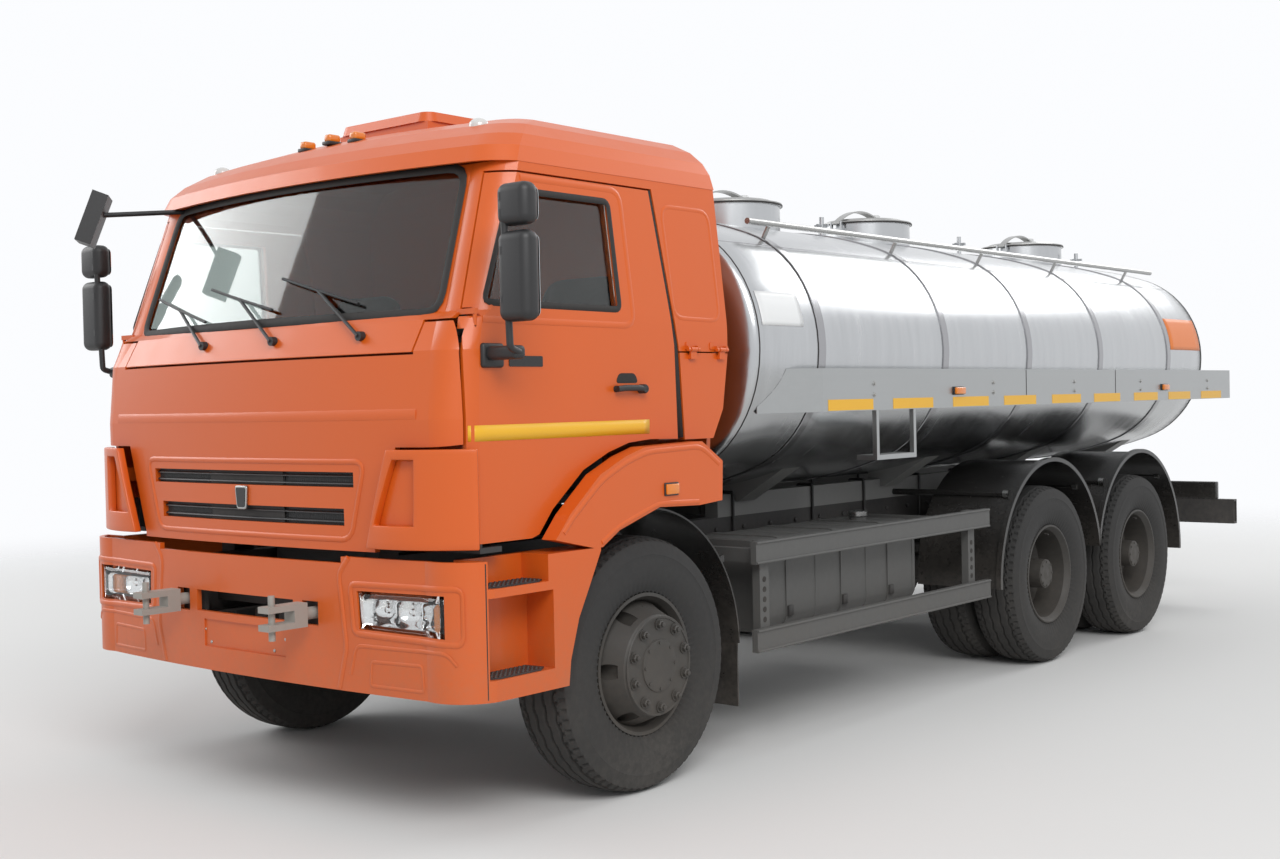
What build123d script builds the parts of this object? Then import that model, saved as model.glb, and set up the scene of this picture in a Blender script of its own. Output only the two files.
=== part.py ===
# Tanker truck: a forward-control cab on a 6x4 chassis with an oval steel tank. Millimetres.
# The truck faces -Y, its left side is +X and its wheels stand on z = 0.
# Lengths along the truck are counted from the front axle, so fy is added to each of them.
import os
from math import atan2, cos, degrees, hypot, radians, sin, sqrt

from build123d import *

os.makedirs("parts", exist_ok=True)

# Whole vehicle
overall_length = 8160
front_reach = 1320
fy = front_reach - overall_length / 2
half_width = 1250
seat_gap = 0.3
pieces = {}

# Wheels and axles
tyre_radius = 520
tyre_width = 280
bead_radius = 290
wheelbase = 3690
bogie_spacing = 1320
front_track_half = 1050
twin_outer_x = 1090
twin_spacing = 320
kingpin_x = 860
kingpin_radius = 28
hub_radius = 205
spindle_radius = 60
front_axle_y = fy
rear_axle_ys = {"mid": fy + wheelbase, "rear": fy + wheelbase + bogie_spacing}

# Frame
rail_outer_x = 432
rail_width = 80
rail_height = 250
rail_top_z = 985
rail_wall = 10
rail_front = -1040
rail_rear = 6560
beam_height = 115
beam_top_z = rail_top_z + beam_height
beam_front = 1480

# Tank
tank_half_width = 1190
tank_half_height = 712
tank_centre_z = 1822
crown_radius = 2300
flank_radius = 900
shoulder_radius = 600
tank_front = 810
tank_rear = 6270
dish_depth = 95
band_width = 60
band_height = 7
band_ys = (1315, 2509, 3503, 4509, 5645)
manhole_ys = {"front": 2210, "middle": 3650, "rear": 5880}
neck_radius = 288
neck_wall = 8
neck_top_z = 2664
lid_radius = 300
lid_thickness = 16

# Cab
cab_wall = 26
cab_bottom_z = 1085
cab_floor_z = 1200
floor_thickness = 30
belt_z = 1905
split_x = 1105
door_gap = 8
door_thickness = 46
door_hinge_x = 1150
door_hinge_y = fy - 900
hinge_pin_radius = 8
panel_hinge_z = 1778
panel_bottom_z = 1050


def side_plane(x):
    """A sketch plane across the truck: local x runs rearwards, local y up, extrude goes to +X."""
    return Plane.YZ.offset(x)


def cross_plane(y):
    """A sketch plane facing the front: local x is +X, local y up, extrude goes to -Y."""
    return Plane.XZ.offset(-y)


def stations(points):
    """Side-view points given from the front axle, as (rearwards, up), moved to the truck's frame."""
    return [(fy + rearwards, up) for rearwards, up in points]


def keep(name, piece):
    """Store a finished sub-part for export."""
    pieces[name] = piece


def both_sides(name, builder):
    """A left piece and its mirror image as two nodes."""
    keep(f"{name}_left", builder)
    with BuildPart() as right:
        mirror(builder.part, about=Plane.YZ)
    keep(f"{name}_right", right)


# Wheels


def tyre(centre_x, centre_y, twin):
    """One tyre, or a twin pair on one hub, turned about the wheel's axis."""
    half = tyre_width / 2
    centres = (0, -twin_spacing) if twin else (0,)
    sign = 1 if centre_x > 0 else -1
    with BuildPart() as ring:
        for shift in centres:
            middle = centre_x + sign * shift
            with BuildSketch(Plane(origin=(middle, centre_y, tyre_radius), x_dir=(1, 0, 0),
                                   z_dir=(0, -1, 0))):
                with BuildLine():
                    Polyline(
                        (-half + 28, bead_radius),
                        (-half, bead_radius + 85),
                        (-half + 4, tyre_radius - 60),
                        (-half + 26, tyre_radius - 6),
                        (-half + 40, tyre_radius),
                        (half - 40, tyre_radius),
                        (half - 26, tyre_radius - 6),
                        (half - 4, tyre_radius - 60),
                        (half, bead_radius + 85),
                        (half - 28, bead_radius),
                        close=True,
                    )
                make_face()
            revolve(axis=Axis((middle, centre_y, tyre_radius), (1, 0, 0)))
    return ring


def front_rim(centre_x, centre_y):
    """A single rim: barrel with lips, a dish that bulges outwards and the hub's flat end."""
    side = 1 if centre_x > 0 else -1
    half = tyre_width / 2 - 28
    bore = spindle_radius + seat_gap
    barrel = bead_radius - seat_gap
    with BuildPart() as rim:
        with BuildSketch(Plane(origin=(centre_x, centre_y, tyre_radius), x_dir=(side, 0, 0),
                               z_dir=(0, -side, 0))):
            with BuildLine():
                Polyline(
                    (-half - 4, barrel), (half + 4, barrel), (half + 4, barrel - 14),
                    (half - 26, barrel - 30), (half - 50, barrel - 34), (half + 62, hub_radius),
                    (half + 76, hub_radius - 14), (half + 76, 0), (-12, 0), (-12, 0.5 * bore),
                    (-12, hub_radius - 30), (half - 66, barrel - 46), (-half - 4, barrel - 24),
                    close=True,
                )
            make_face()
        revolve(axis=Axis((centre_x, centre_y, tyre_radius), (1, 0, 0)))
        with BuildSketch(Plane(origin=(centre_x, centre_y, tyre_radius), x_dir=(0, 1, 0),
                               z_dir=(side, 0, 0))):
            with PolarLocations(barrel - 62, 6):
                SlotOverall(62, 44, rotation=90)
        extrude(amount=half + 40, mode=Mode.SUBTRACT)
        with BuildSketch(Plane(origin=(centre_x - side * (half + 40), centre_y, tyre_radius),
                               x_dir=(0, 1, 0), z_dir=(side, 0, 0))):
            Circle(bore)
        extrude(amount=half + 40 - 12 + 34, mode=Mode.SUBTRACT)
    return rim


def twin_rim(centre_x, centre_y):
    """A twin rim pair: outer dish far inside, both barrels and the hub between them."""
    side = 1 if centre_x > 0 else -1
    half = tyre_width / 2 - 28
    barrel = bead_radius - seat_gap
    inner = -twin_spacing - half - 4
    bore = spindle_radius + seat_gap
    with BuildPart() as rim:
        with BuildSketch(Plane(origin=(centre_x, centre_y, tyre_radius), x_dir=(side, 0, 0),
                               z_dir=(0, -side, 0))):
            with BuildLine():
                Polyline(
                    (half + 4, barrel), (half + 4, barrel - 14), (half - 24, barrel - 32),
                    (-half + 46, barrel - 44), (-half - 6, hub_radius), (-half - 6, 92),
                    (half - 20, 84), (half - 12, 0), (-twin_spacing + 20, 0),
                    (-twin_spacing + 20, hub_radius), (inner, barrel - 24), (inner, barrel),
                    close=True,
                )
            make_face()
        revolve(axis=Axis((centre_x, centre_y, tyre_radius), (1, 0, 0)))
        with BuildSketch(Plane(origin=(centre_x - side * 400, centre_y, tyre_radius),
                               x_dir=(0, 1, 0), z_dir=(side, 0, 0))):
            Circle(bore)
        extrude(amount=400 - twin_spacing / 2, mode=Mode.SUBTRACT)
    return rim


for side_name, side in (("left", 1), ("right", -1)):
    keep(f"tyre_front_{side_name}", tyre(side * front_track_half, front_axle_y, False))
    keep(f"rim_front_{side_name}", front_rim(side * front_track_half, front_axle_y))
    for axle_name, axle_y in rear_axle_ys.items():
        keep(f"tyres_{axle_name}_{side_name}", tyre(side * twin_outer_x, axle_y, True))
        keep(f"rims_{axle_name}_{side_name}", twin_rim(side * twin_outer_x, axle_y))

# Steering knuckles: a yoke around the beam's eye, a king pin and a spindle
knuckle_height = 240
beam_eye_height = 120
yoke_gap = 6
spindle_end = front_track_half + 20
with BuildPart() as knuckle_left:
    with BuildSketch(Plane.XY.offset(tyre_radius - knuckle_height / 2)):
        with Locations((kingpin_x, fy)):
            Circle(58)
        with Locations((kingpin_x + 45, fy)):
            Rectangle(90, 116)
    extrude(amount=knuckle_height)
    with BuildSketch(Plane.XY.offset(tyre_radius - beam_eye_height / 2 - yoke_gap)):
        with Locations((kingpin_x, fy)):
            Circle(64)
        with Locations((kingpin_x - 60, fy)):
            Rectangle(120, 128)
    extrude(amount=beam_eye_height + 2 * yoke_gap, mode=Mode.SUBTRACT)
    with BuildSketch(Plane.XY.offset(tyre_radius - knuckle_height / 2)):
        with Locations((kingpin_x, fy)):
            Circle(kingpin_radius)
    extrude(amount=knuckle_height)
    with BuildSketch(side_plane(kingpin_x + 66)):
        with Locations((fy, tyre_radius)):
            Circle(spindle_radius)
    extrude(amount=spindle_end - kingpin_x - 66)
both_sides("knuckle", knuckle_left)

# Axles: a forged front beam with eyes, and two housings with their differential bowls
with BuildPart() as axles:
    with BuildSketch(cross_plane(fy + 45)):
        with BuildLine():
            Polyline(
                (0, 395), (480, 395), (640, tyre_radius - 40), (kingpin_x, tyre_radius - 60),
                (kingpin_x, tyre_radius + 60), (620, tyre_radius + 40), (450, 485), (0, 485),
                close=True,
            )
        make_face()
    extrude(amount=90)
    with BuildSketch(Plane.XY.offset(tyre_radius - beam_eye_height / 2)):
        with Locations((kingpin_x, fy)):
            Circle(52)
    extrude(amount=beam_eye_height)
    mirror(about=Plane.YZ)
    with BuildSketch(Plane.XY.offset(tyre_radius - beam_eye_height)):
        with Locations((kingpin_x, fy), (-kingpin_x, fy)):
            Circle(kingpin_radius + seat_gap)
    extrude(amount=2 * beam_eye_height, mode=Mode.SUBTRACT)
    for axle_y in rear_axle_ys.values():
        tube_end = twin_outer_x - twin_spacing / 2 - 20
        with BuildSketch(side_plane(-tube_end)):
            with Locations((axle_y, tyre_radius)):
                Circle(spindle_radius)
        extrude(amount=2 * tube_end)
        with BuildSketch(side_plane(-560)):
            with Locations((axle_y, tyre_radius)):
                RectangleRounded(150, 150, 30)
        extrude(amount=1120)
        with BuildSketch(cross_plane(axle_y + 110)):
            with Locations((0, tyre_radius)):
                Circle(215)
        extrude(amount=300, taper=12)
keep("axles", axles)

# Ladder frame: channel rails joined by box cross-members
cross_member_ys = (-890, 1260, 2100, 2950, 4350, 5750, 6480)
cross_member_size = (90, 150)
drawbar_spacing, drawbar_hole_radius = (160, 100), 10.5
cab_mount_ys = (-790, 430)
with BuildPart() as frame:
    with BuildSketch(cross_plane(fy + rail_rear)):
        with Locations((rail_outer_x - rail_width / 2, rail_top_z - rail_height / 2)):
            Rectangle(rail_width, rail_height)
        with Locations((rail_outer_x - rail_width / 2 - rail_wall, rail_top_z - rail_height / 2)):
            Rectangle(rail_width, rail_height - 2 * rail_wall, mode=Mode.SUBTRACT)
    extrude(amount=rail_rear - rail_front)
    mirror(about=Plane.YZ)
    for member_y in cross_member_ys:
        with Locations((0, fy + member_y, rail_top_z - rail_height / 2)):
            Box(2 * (rail_outer_x - rail_wall / 2), cross_member_size[0], cross_member_size[1])
    for side in (1, -1):
        with Locations((side * 410, fy + rail_front - 10, rail_top_z - rail_height / 2)):
            Box(150, 20, rail_height)
        for mount_y in cab_mount_ys:
            with Locations((side * (rail_outer_x + 44), fy + mount_y,
                            (cab_floor_z - seat_gap + rail_top_z - 90) / 2)):
                Box(90, 100, cab_floor_z - seat_gap - rail_top_z + 90)
    with BuildSketch(cross_plane(fy + rail_rear)):
        with Locations((0, rail_top_z - rail_height / 2)):
            with GridLocations(*drawbar_spacing, 2, 2):
                Circle(drawbar_hole_radius)
    extrude(amount=200, mode=Mode.SUBTRACT)
keep("frame", frame)


def tank_face(grow):
    """The tank's section: crown, shoulder and flank arcs that meet in line, grown all round."""
    low = crown_radius - tank_half_height
    near = tank_half_width - flank_radius
    reach_crown, reach_flank = crown_radius - shoulder_radius, flank_radius - shoulder_radius
    span = hypot(near, low)
    along = (reach_crown**2 - reach_flank**2 + span**2) / (2 * span)
    across = sqrt(reach_crown**2 - along**2)
    ux, uz = near / span, low / span
    px, pz = ux * along + uz * across, -low + uz * along - ux * across
    a, b = tank_half_width + grow, tank_half_height + grow
    crown = crown_radius + grow
    tx, tz = px / reach_crown * crown, -low + (pz + low) / reach_crown * crown
    flank = flank_radius + grow
    sx, sz = near + (px - near) / reach_flank * flank, pz / reach_flank * flank
    shoulder = shoulder_radius + grow
    turn = radians((degrees(atan2(pz + low, px)) + degrees(atan2(pz, px - near))) / 2)
    mx, mz = px + shoulder * cos(turn), pz + shoulder * sin(turn)
    with BuildSketch() as oval:
        with BuildLine():
            ThreePointArc((-tx, tz), (0, b), (tx, tz))
            ThreePointArc((tx, tz), (mx, mz), (sx, sz))
            ThreePointArc((sx, sz), (a, 0), (sx, -sz))
            ThreePointArc((sx, -sz), (mx, -mz), (tx, -tz))
            ThreePointArc((tx, -tz), (0, -b), (-tx, -tz))
            ThreePointArc((-tx, -tz), (-mx, -mz), (-sx, -sz))
            ThreePointArc((-sx, -sz), (-a, 0), (-sx, sz))
            ThreePointArc((-sx, sz), (-mx, mz), (-tx, tz))
        make_face()
    return oval.sketch


def tank_plane(y):
    """The tank's section plane, centred on its axis."""
    return Plane(origin=(0, fy + y, tank_centre_z), x_dir=(1, 0, 0), z_dir=(0, -1, 0))


# Tank: shell, dished ends and bands, one closed solid
dish_steps = ((0, 0), (0.55, 70), (0.88, 220), (1, 430))
with BuildPart() as tank:
    with BuildSketch(tank_plane(tank_rear)):
        add(tank_face(0))
    extrude(amount=tank_rear - tank_front)
    for end_y, outward in ((tank_front, -1), (tank_rear, 1)):
        for (near_depth, near_inset), (far_depth, far_inset) in zip(dish_steps, dish_steps[1:]):
            with BuildSketch(tank_plane(end_y + outward * dish_depth * near_depth)):
                add(tank_face(-near_inset))
            with BuildSketch(tank_plane(end_y + outward * dish_depth * far_depth)):
                add(tank_face(-far_inset))
            loft(ruled=True)
    for band_y in band_ys:
        with BuildSketch(tank_plane(band_y + band_width / 2)):
            add(tank_face(band_height))
        extrude(amount=band_width)
keep("tank", tank)

# The tank grown by the seat gap, which trims whatever sits against it
with BuildPart() as tank_seat:
    with BuildSketch(tank_plane(tank_rear + 2 * dish_depth)):
        add(tank_face(seat_gap))
    extrude(amount=tank_rear - tank_front + 4 * dish_depth)
    for band_y in band_ys:
        with BuildSketch(tank_plane(band_y + band_width / 2 + seat_gap)):
            add(tank_face(band_height + seat_gap))
        extrude(amount=band_width + 2 * seat_gap)

# Manhole necks, and the small air vents between them
vents = ((340, 2640), (340, 4270), (340, 6080))
lid_hinge_reach = 30
lid_hinge_z = neck_top_z + 4
lid_pin_radius = 5
with BuildPart() as tank_necks:
    for manhole_y in manhole_ys.values():
        with BuildSketch(Plane.XY.offset(tank_centre_z + tank_half_height / 2)):
            with Locations((0, fy + manhole_y)):
                Circle(neck_radius)
                Circle(neck_radius - neck_wall, mode=Mode.SUBTRACT)
        extrude(amount=neck_top_z - tank_centre_z - tank_half_height / 2)
        hinge_y = fy + manhole_y - neck_radius - lid_hinge_reach
        with Locations((0, hinge_y + lid_hinge_reach / 2, neck_top_z - 40)):
            Box(92, lid_hinge_reach + 16, 24)
        for lug_x in (-36, 36):
            with BuildSketch(side_plane(lug_x - 6)):
                with Locations((hinge_y, lid_hinge_z)):
                    Circle(10)
                with Locations((hinge_y, lid_hinge_z - 22)):
                    Rectangle(20, 44)
            extrude(amount=12)
        with BuildSketch(side_plane(-36)):
            with Locations((hinge_y, lid_hinge_z)):
                Circle(lid_pin_radius)
        extrude(amount=72)
    for vent_x, vent_y in vents:
        with Locations((vent_x, fy + vent_y, neck_top_z - 130)):
            Cylinder(14, 170)
        with Locations((vent_x, fy + vent_y, neck_top_z - 95)):
            Box(90, 16, 16)
            Box(16, 90, 16)
    add(tank_seat.part, mode=Mode.SUBTRACT)
keep("tank_necks", tank_necks)

# Manhole lids: a dished disc, an arched strap from the hinge to the knob
strap_width, strap_wall, strap_rise = 50, 9, 88
strap_reach = 200
for place, manhole_y in manhole_ys.items():
    centre_y = fy + manhole_y
    hinge_y = centre_y - neck_radius - lid_hinge_reach
    lid_top_z = neck_top_z + seat_gap + lid_thickness
    with BuildPart() as lid:
        with BuildSketch(Plane.XY.offset(neck_top_z + seat_gap)):
            with Locations((0, centre_y)):
                Circle(lid_radius)
        extrude(amount=lid_thickness)
        with BuildSketch(Plane.XY.offset(lid_top_z)):
            with Locations((0, centre_y)):
                Circle(lid_radius - 30)
        extrude(amount=18, taper=60)
        with BuildSketch(side_plane(-strap_width / 2)):
            with BuildLine():
                ThreePointArc((hinge_y, lid_hinge_z), (centre_y - 60, neck_top_z + strap_rise),
                              (centre_y + strap_reach, lid_top_z + 4))
                Line((centre_y + strap_reach, lid_top_z + 4),
                     (centre_y + strap_reach + 2 * strap_wall, lid_top_z + 4))
                ThreePointArc((centre_y + strap_reach + 2 * strap_wall, lid_top_z + 4),
                              (centre_y - 60, neck_top_z + strap_rise + strap_wall),
                              (hinge_y - 9, lid_hinge_z))
                Line((hinge_y - 9, lid_hinge_z), (hinge_y, lid_hinge_z))
            make_face()
            with Locations((hinge_y, lid_hinge_z)):
                Circle(11)
        extrude(amount=strap_width)
        with BuildSketch(side_plane(-strap_width)):
            with Locations((hinge_y, lid_hinge_z)):
                Circle(lid_pin_radius + seat_gap)
        extrude(amount=2 * strap_width, mode=Mode.SUBTRACT)
        with Locations((0, centre_y + 150, lid_top_z + 48)):
            Cylinder(24, 46)
    keep(f"lid_{place}", lid)

# Handrails along both shoulders, on a post at each band
rail_radius = 15
rail_x, rail_z = 905, 2432
with BuildPart() as handrails:
    with BuildSketch(cross_plane(fy + 6060)):
        with Locations((rail_x, rail_z)):
            Circle(rail_radius)
    extrude(amount=6060 - 1130)
    for post_y in band_ys:
        with Locations(Plane(origin=(rail_x - 36, fy + post_y, rail_z - 60), z_dir=(0.5, 0, 0.86))):
            Box(10, 24, 130)
    add(tank_seat.part, mode=Mode.SUBTRACT)
    mirror(about=Plane.YZ)
keep("handrails", handrails)

# Tank beams and saddles between the frame and the tank
saddle_ys = (1690, 3150, 4560, 5980)
saddle_length = 150
with BuildPart() as tank_beams:
    with BuildSketch(cross_plane(fy + rail_rear)):
        with Locations((rail_outer_x - rail_width / 2, rail_top_z + beam_height / 2)):
            Rectangle(rail_width, beam_height)
    extrude(amount=rail_rear - beam_front)
    for saddle_y in saddle_ys:
        with BuildSketch(cross_plane(fy + saddle_y + saddle_length / 2)):
            with BuildLine():
                Polyline(
                    (rail_outer_x - rail_width, beam_top_z - 40), (rail_outer_x + 30, beam_top_z - 40),
                    (985, 1380), (985, 1600), (rail_outer_x - rail_width, 1600), close=True,
                )
            make_face()
        extrude(amount=saddle_length)
    mirror(about=Plane.YZ)
    add(tank_seat.part, mode=Mode.SUBTRACT)
keep("tank_beams", tank_beams)

# Side skirts: a flat valance with flanges, a slanted front and a hanging step
skirt_top_z, skirt_bottom_z = 1725, 1522
skirt_front, skirt_rear = 1225, 6680
skirt_wall = 6
slant_front = 865
with BuildPart() as skirts:
    with BuildSketch(Plane.XY.offset(skirt_bottom_z)):
        with BuildLine():
            Polyline(
                (half_width, fy + skirt_rear), (half_width, fy + skirt_front),
                (tank_half_width - 60, fy + slant_front),
                (tank_half_width - 60 - skirt_wall, fy + slant_front),
                (half_width - skirt_wall, fy + skirt_front + 4), (half_width - skirt_wall, fy + skirt_rear),
                close=True,
            )
        make_face()
    extrude(amount=skirt_top_z - skirt_bottom_z)
    for flange_z in (skirt_bottom_z, skirt_top_z - skirt_wall):
        with BuildSketch(Plane.XY.offset(flange_z)):
            with BuildLine():
                Polyline(
                    (half_width, fy + skirt_rear), (half_width, fy + skirt_front),
                    (tank_half_width - 60, fy + slant_front), (tank_half_width - 150, fy + slant_front + 60),
                    (half_width - 150, fy + skirt_front), (half_width - 150, fy + skirt_rear), close=True,
                )
            make_face()
        extrude(amount=skirt_wall)
    add(tank_seat.part, mode=Mode.SUBTRACT)
    step_front, step_rear, step_bottom = 1711, 2069, 1278
    for leg_y in (step_front, step_rear):
        with Locations((half_width - 14, fy + leg_y, (step_bottom + skirt_bottom_z) / 2)):
            Box(24, 24, skirt_bottom_z - step_bottom)
    with Locations((half_width - 60, fy + (step_front + step_rear) / 2, step_bottom + 12)):
        Box(116, step_rear - step_front + 24, 24)
    mirror(about=Plane.YZ)
keep("skirts", skirts)

# Cab: sections of the hull from the sill to the drip rail, all measured from the front axle
# columns: height, nose, corner across, corner along, side across, side's front end, rear wall
hull_sections = (
    (1045, -1092, 1040, -1030, 1160, -905, 505),
    (1540, -1100, 1040, -1038, 1166, -905, 560),
    (1790, -1085, 1030, -1010, 1168, -900, 600),
    (1905, -1040, 1000, -948, 1168, -880, 600),
    (1935, -1030, 997, -903, 1167, -835, 598),
    (2500, -835, 960, -712, 1135, -640, 560),
)


def hull(inset, reach=0):
    """The cab's outer form, moved in by inset; reach carries its ends past the top and bottom."""
    rows = list(hull_sections)
    if reach:
        rows = [(rows[0][0] - reach, *rows[0][1:]), *rows, (rows[-1][0] + reach, *rows[-1][1:])]
    sketches = []
    for height, nose, corner_x, corner_y, side_x, side_y, rear in rows:
        cx, cy = corner_x - 0.7 * inset, fy + corner_y + 0.8 * inset
        sx, sy = side_x - inset, fy + side_y + 0.4 * inset
        back = fy + rear - inset
        mx, my = (cx + sx) / 2 + 22, (cy + sy) / 2 - 22
        with BuildSketch(Plane.XY.offset(height)) as section:
            with BuildLine():
                ThreePointArc((-cx, cy), (0, fy + nose + inset), (cx, cy))
                ThreePointArc((cx, cy), (mx, my), (sx, sy))
                Polyline((sx, sy), (sx, back), (-sx, back), (-sx, sy))
                ThreePointArc((-sx, sy), (-mx, my), (-cx, cy))
            make_face()
        sketches.append(section.sketch)
    return loft(sections=sketches, ruled=True, mode=Mode.PRIVATE)


with BuildPart() as cab_hull:
    add(hull(0))
    add(hull(cab_wall, 40), mode=Mode.SUBTRACT)

# Side-view line between the front of the cab and its doors, with the jog that holds the top pin
jog_z = belt_z + 6
door_low_y, door_high_y, door_kink_z = -957, -935, 1780
notch_y, notch_z = -880, 1945
pillar_foot_x, pillar_top_x = 1075, 1030
door_top_z = 2456
front_gap = 10
door_front = stations(
    ((door_low_y, cab_bottom_z), (door_low_y, door_kink_z), (door_high_y, jog_z), (notch_y, jog_z),
     (notch_y, notch_z), (-1300, notch_z), (-1300, door_top_z))
)

# Front-view lines: the wiper strip, the panel's ears and the corner deflectors
ear_x = 950
ear_top_z = 1897
deflector_top_z = 1432
deflector_bottom_z = 1070
deflector_inner_top_x = 885
deflector_inner_low_x = 765
panel_gap = 9


def front_zone(points, back=-500):
    """A block over a closed front-view outline, from the station back forward through the nose."""
    with BuildPart(mode=Mode.PRIVATE) as zone:
        with BuildSketch(cross_plane(fy + back)):
            with BuildLine():
                Polyline(*points, close=True)
            make_face()
        extrude(amount=back + 1300)
    return zone.part


def side_zone(points, reach=1400):
    """A block over a closed side-view outline, across the whole cab."""
    with BuildPart(mode=Mode.PRIVATE) as zone:
        with BuildSketch(side_plane(-reach)):
            with BuildLine():
                Polyline(*points, close=True)
            make_face()
        extrude(amount=2 * reach)
    return zone.part


def mirrored(points):
    """A front-view outline on +X carried round to -X."""
    return list(points) + [(-x, z) for x, z in reversed(points)]


# Front frame: windscreen surround, wiper strip, pillars and the bulkhead behind the lifting panel
screen_low_z, screen_top_z = 1938, 2484
screen_low_x, screen_top_x = 962, 926
screen_outline = mirrored(((screen_low_x, screen_low_z), (screen_top_x, screen_top_z)))
bulkhead_y = -868
buffer_radius = 16
with BuildPart() as bulkhead:
    add(hull(cab_wall - 6))
    with Locations((0, fy + bulkhead_y - 190, panel_hinge_z + 34)):
        Box(2 * ear_x - 40, 400, 14, mode=Mode.INTERSECT)
    with Locations((0, fy + bulkhead_y, (cab_floor_z + panel_hinge_z + 41) / 2)):
        Box(2 * 1085, 20, panel_hinge_z + 41 - cab_floor_z)
    with BuildPart(mode=Mode.PRIVATE) as buffers:
        with BuildSketch(cross_plane(fy + bulkhead_y)):
            with Locations((-700, 1500), (700, 1500), (-300, 1400), (300, 1400)):
                Circle(buffer_radius)
        extrude(amount=400)
        add(hull(cab_wall + seat_gap), mode=Mode.INTERSECT)
    add(buffers.part)
with BuildPart() as cab_front:
    add(cab_hull.part)
    add(
        front_zone(mirrored(((split_x - seat_gap, 2600), (split_x - seat_gap, door_top_z + door_gap),
                             (pillar_top_x, door_top_z + door_gap), (pillar_foot_x, jog_z + door_gap),
                             (pillar_foot_x, ear_top_z + panel_gap),
                             (ear_x - panel_gap, ear_top_z + panel_gap),
                             (ear_x - panel_gap, panel_hinge_z + panel_gap))), back=100),
        mode=Mode.INTERSECT,
    )
    add(front_zone(screen_outline), mode=Mode.SUBTRACT)
    add(bulkhead.part)
    with BuildSketch(Plane.XY.offset(jog_z - 34)):
        with Locations((door_hinge_x, door_hinge_y), (-door_hinge_x, door_hinge_y)):
            Circle(hinge_pin_radius)
    extrude(amount=34 + door_gap + 12)
    for side in (1, -1):
        with Locations((side * (door_hinge_x - 41), door_hinge_y, jog_z + door_gap + 10)):
            Box(98, 20, 20)
keep("cab_front", cab_front)

# Side frames: header over the door and the quarter behind it
door_rear = ((113, door_top_z), (196, 2008), (228, 1821), (244, 1430))
frame_front = ((133, 2470), (217, 2009), (256, 1822), (290, 1424))
flap_front = ((264, 1790), (292, 1425))
flap_top_z, flap_bottom_z = 1790, 1425
post_inner_x, post_outer_x, post_web_x = 1060, 1082, 1150
flap_hinge_x, flap_hinge_z, flap_pin_radius = 1184, flap_top_z + 14, 5
flap_gap = 6
flap_barrel_ys = (340, 540)
with BuildPart() as door_posts:
    for outer_x, front, rear, low_z in ((post_outer_x, -70, 60, 1424), (post_web_x, 4, 30, 1800)):
        with BuildSketch(side_plane(post_inner_x)):
            with BuildLine():
                Polyline(*stations([(y + front, z) for y, z in frame_front] +
                                   [(y + rear, z) for y, z in reversed(frame_front)]), close=True)
            make_face()
            with Locations((fy + 200, low_z + 600)):
                Rectangle(800, 1200, mode=Mode.INTERSECT)
        extrude(amount=outer_x - post_inner_x)
    add(hull(8), mode=Mode.INTERSECT)
    mirror(about=Plane.YZ)
with BuildPart() as cab_sides:
    add(cab_hull.part)
    with Locations((0, 0, 1800)):
        Box(2 * split_x, 9000, 2000, mode=Mode.SUBTRACT)
    add(
        side_zone(
            stations(
                (
                    (-900, 2600), (-900, door_top_z + door_gap), (134, door_top_z + door_gap),
                    *frame_front[1:3],
                    (259, flap_top_z + flap_gap), (700, flap_top_z + flap_gap), (700, 2600),
                )
            )
        ),
        mode=Mode.INTERSECT,
    )
    add(door_posts.part)
    for barrel_y in flap_barrel_ys:
        with BuildSketch(cross_plane(fy + barrel_y + 40)):
            with Locations((flap_hinge_x, flap_hinge_z), (-flap_hinge_x, flap_hinge_z)):
                Circle(flap_pin_radius)
        extrude(amount=80)
        for end_y in (barrel_y - 26, barrel_y + 40):
            with BuildSketch(cross_plane(fy + end_y)):
                with Locations((flap_hinge_x, flap_hinge_z), (-flap_hinge_x, flap_hinge_z)):
                    Circle(flap_pin_radius + 3)
                with Locations((flap_hinge_x - 12, flap_hinge_z + 8), (-flap_hinge_x + 12, flap_hinge_z + 8)):
                    Rectangle(30, 15)
            extrude(amount=14)
keep("cab_sides", cab_sides)

# Rear wall
with BuildPart() as cab_rear_wall:
    add(cab_hull.part)
    with Locations((0, fy + 480, 1850)):
        Box(2 * split_x, 400, 1300, mode=Mode.INTERSECT)
keep("cab_rear_wall", cab_rear_wall)

# Floor with the engine tunnel and the lower pins of the doors
floor_half = 1105
tunnel_half, tunnel_top_z = 420, 1530
with BuildPart() as cab_floor:
    with BuildSketch(cross_plane(fy + 560)):
        with BuildLine():
            Polyline(
                *mirrored(
                    (
                        (floor_half, cab_floor_z), (floor_half, cab_floor_z + floor_thickness),
                        (tunnel_half + 30, cab_floor_z + floor_thickness), (tunnel_half, tunnel_top_z),
                    )
                ),
                *reversed(
                    mirrored(
                        (
                            (tunnel_half + 6, cab_floor_z),
                            (tunnel_half - floor_thickness, tunnel_top_z - floor_thickness),
                        )
                    )
                ),
                close=True,
            )
        make_face()
    extrude(amount=560 - bulkhead_y - 10 - seat_gap)
    add(hull(cab_wall + seat_gap, 300), mode=Mode.INTERSECT)
    with Locations((door_hinge_x - 70, door_hinge_y + 35, cab_bottom_z - 24)):
        Box(180, 110, 20)
    with Locations((floor_half - 56, door_hinge_y + 35, (cab_floor_z + cab_bottom_z - 24) / 2)):
        Box(40, 110, cab_floor_z - cab_bottom_z + 24)
    with BuildSketch(Plane.XY.offset(cab_bottom_z - 20)):
        with Locations((door_hinge_x, door_hinge_y)):
            Circle(hinge_pin_radius)
    extrude(amount=50)
    mirror(about=Plane.YZ)
keep("cab_floor", cab_floor)

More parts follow.
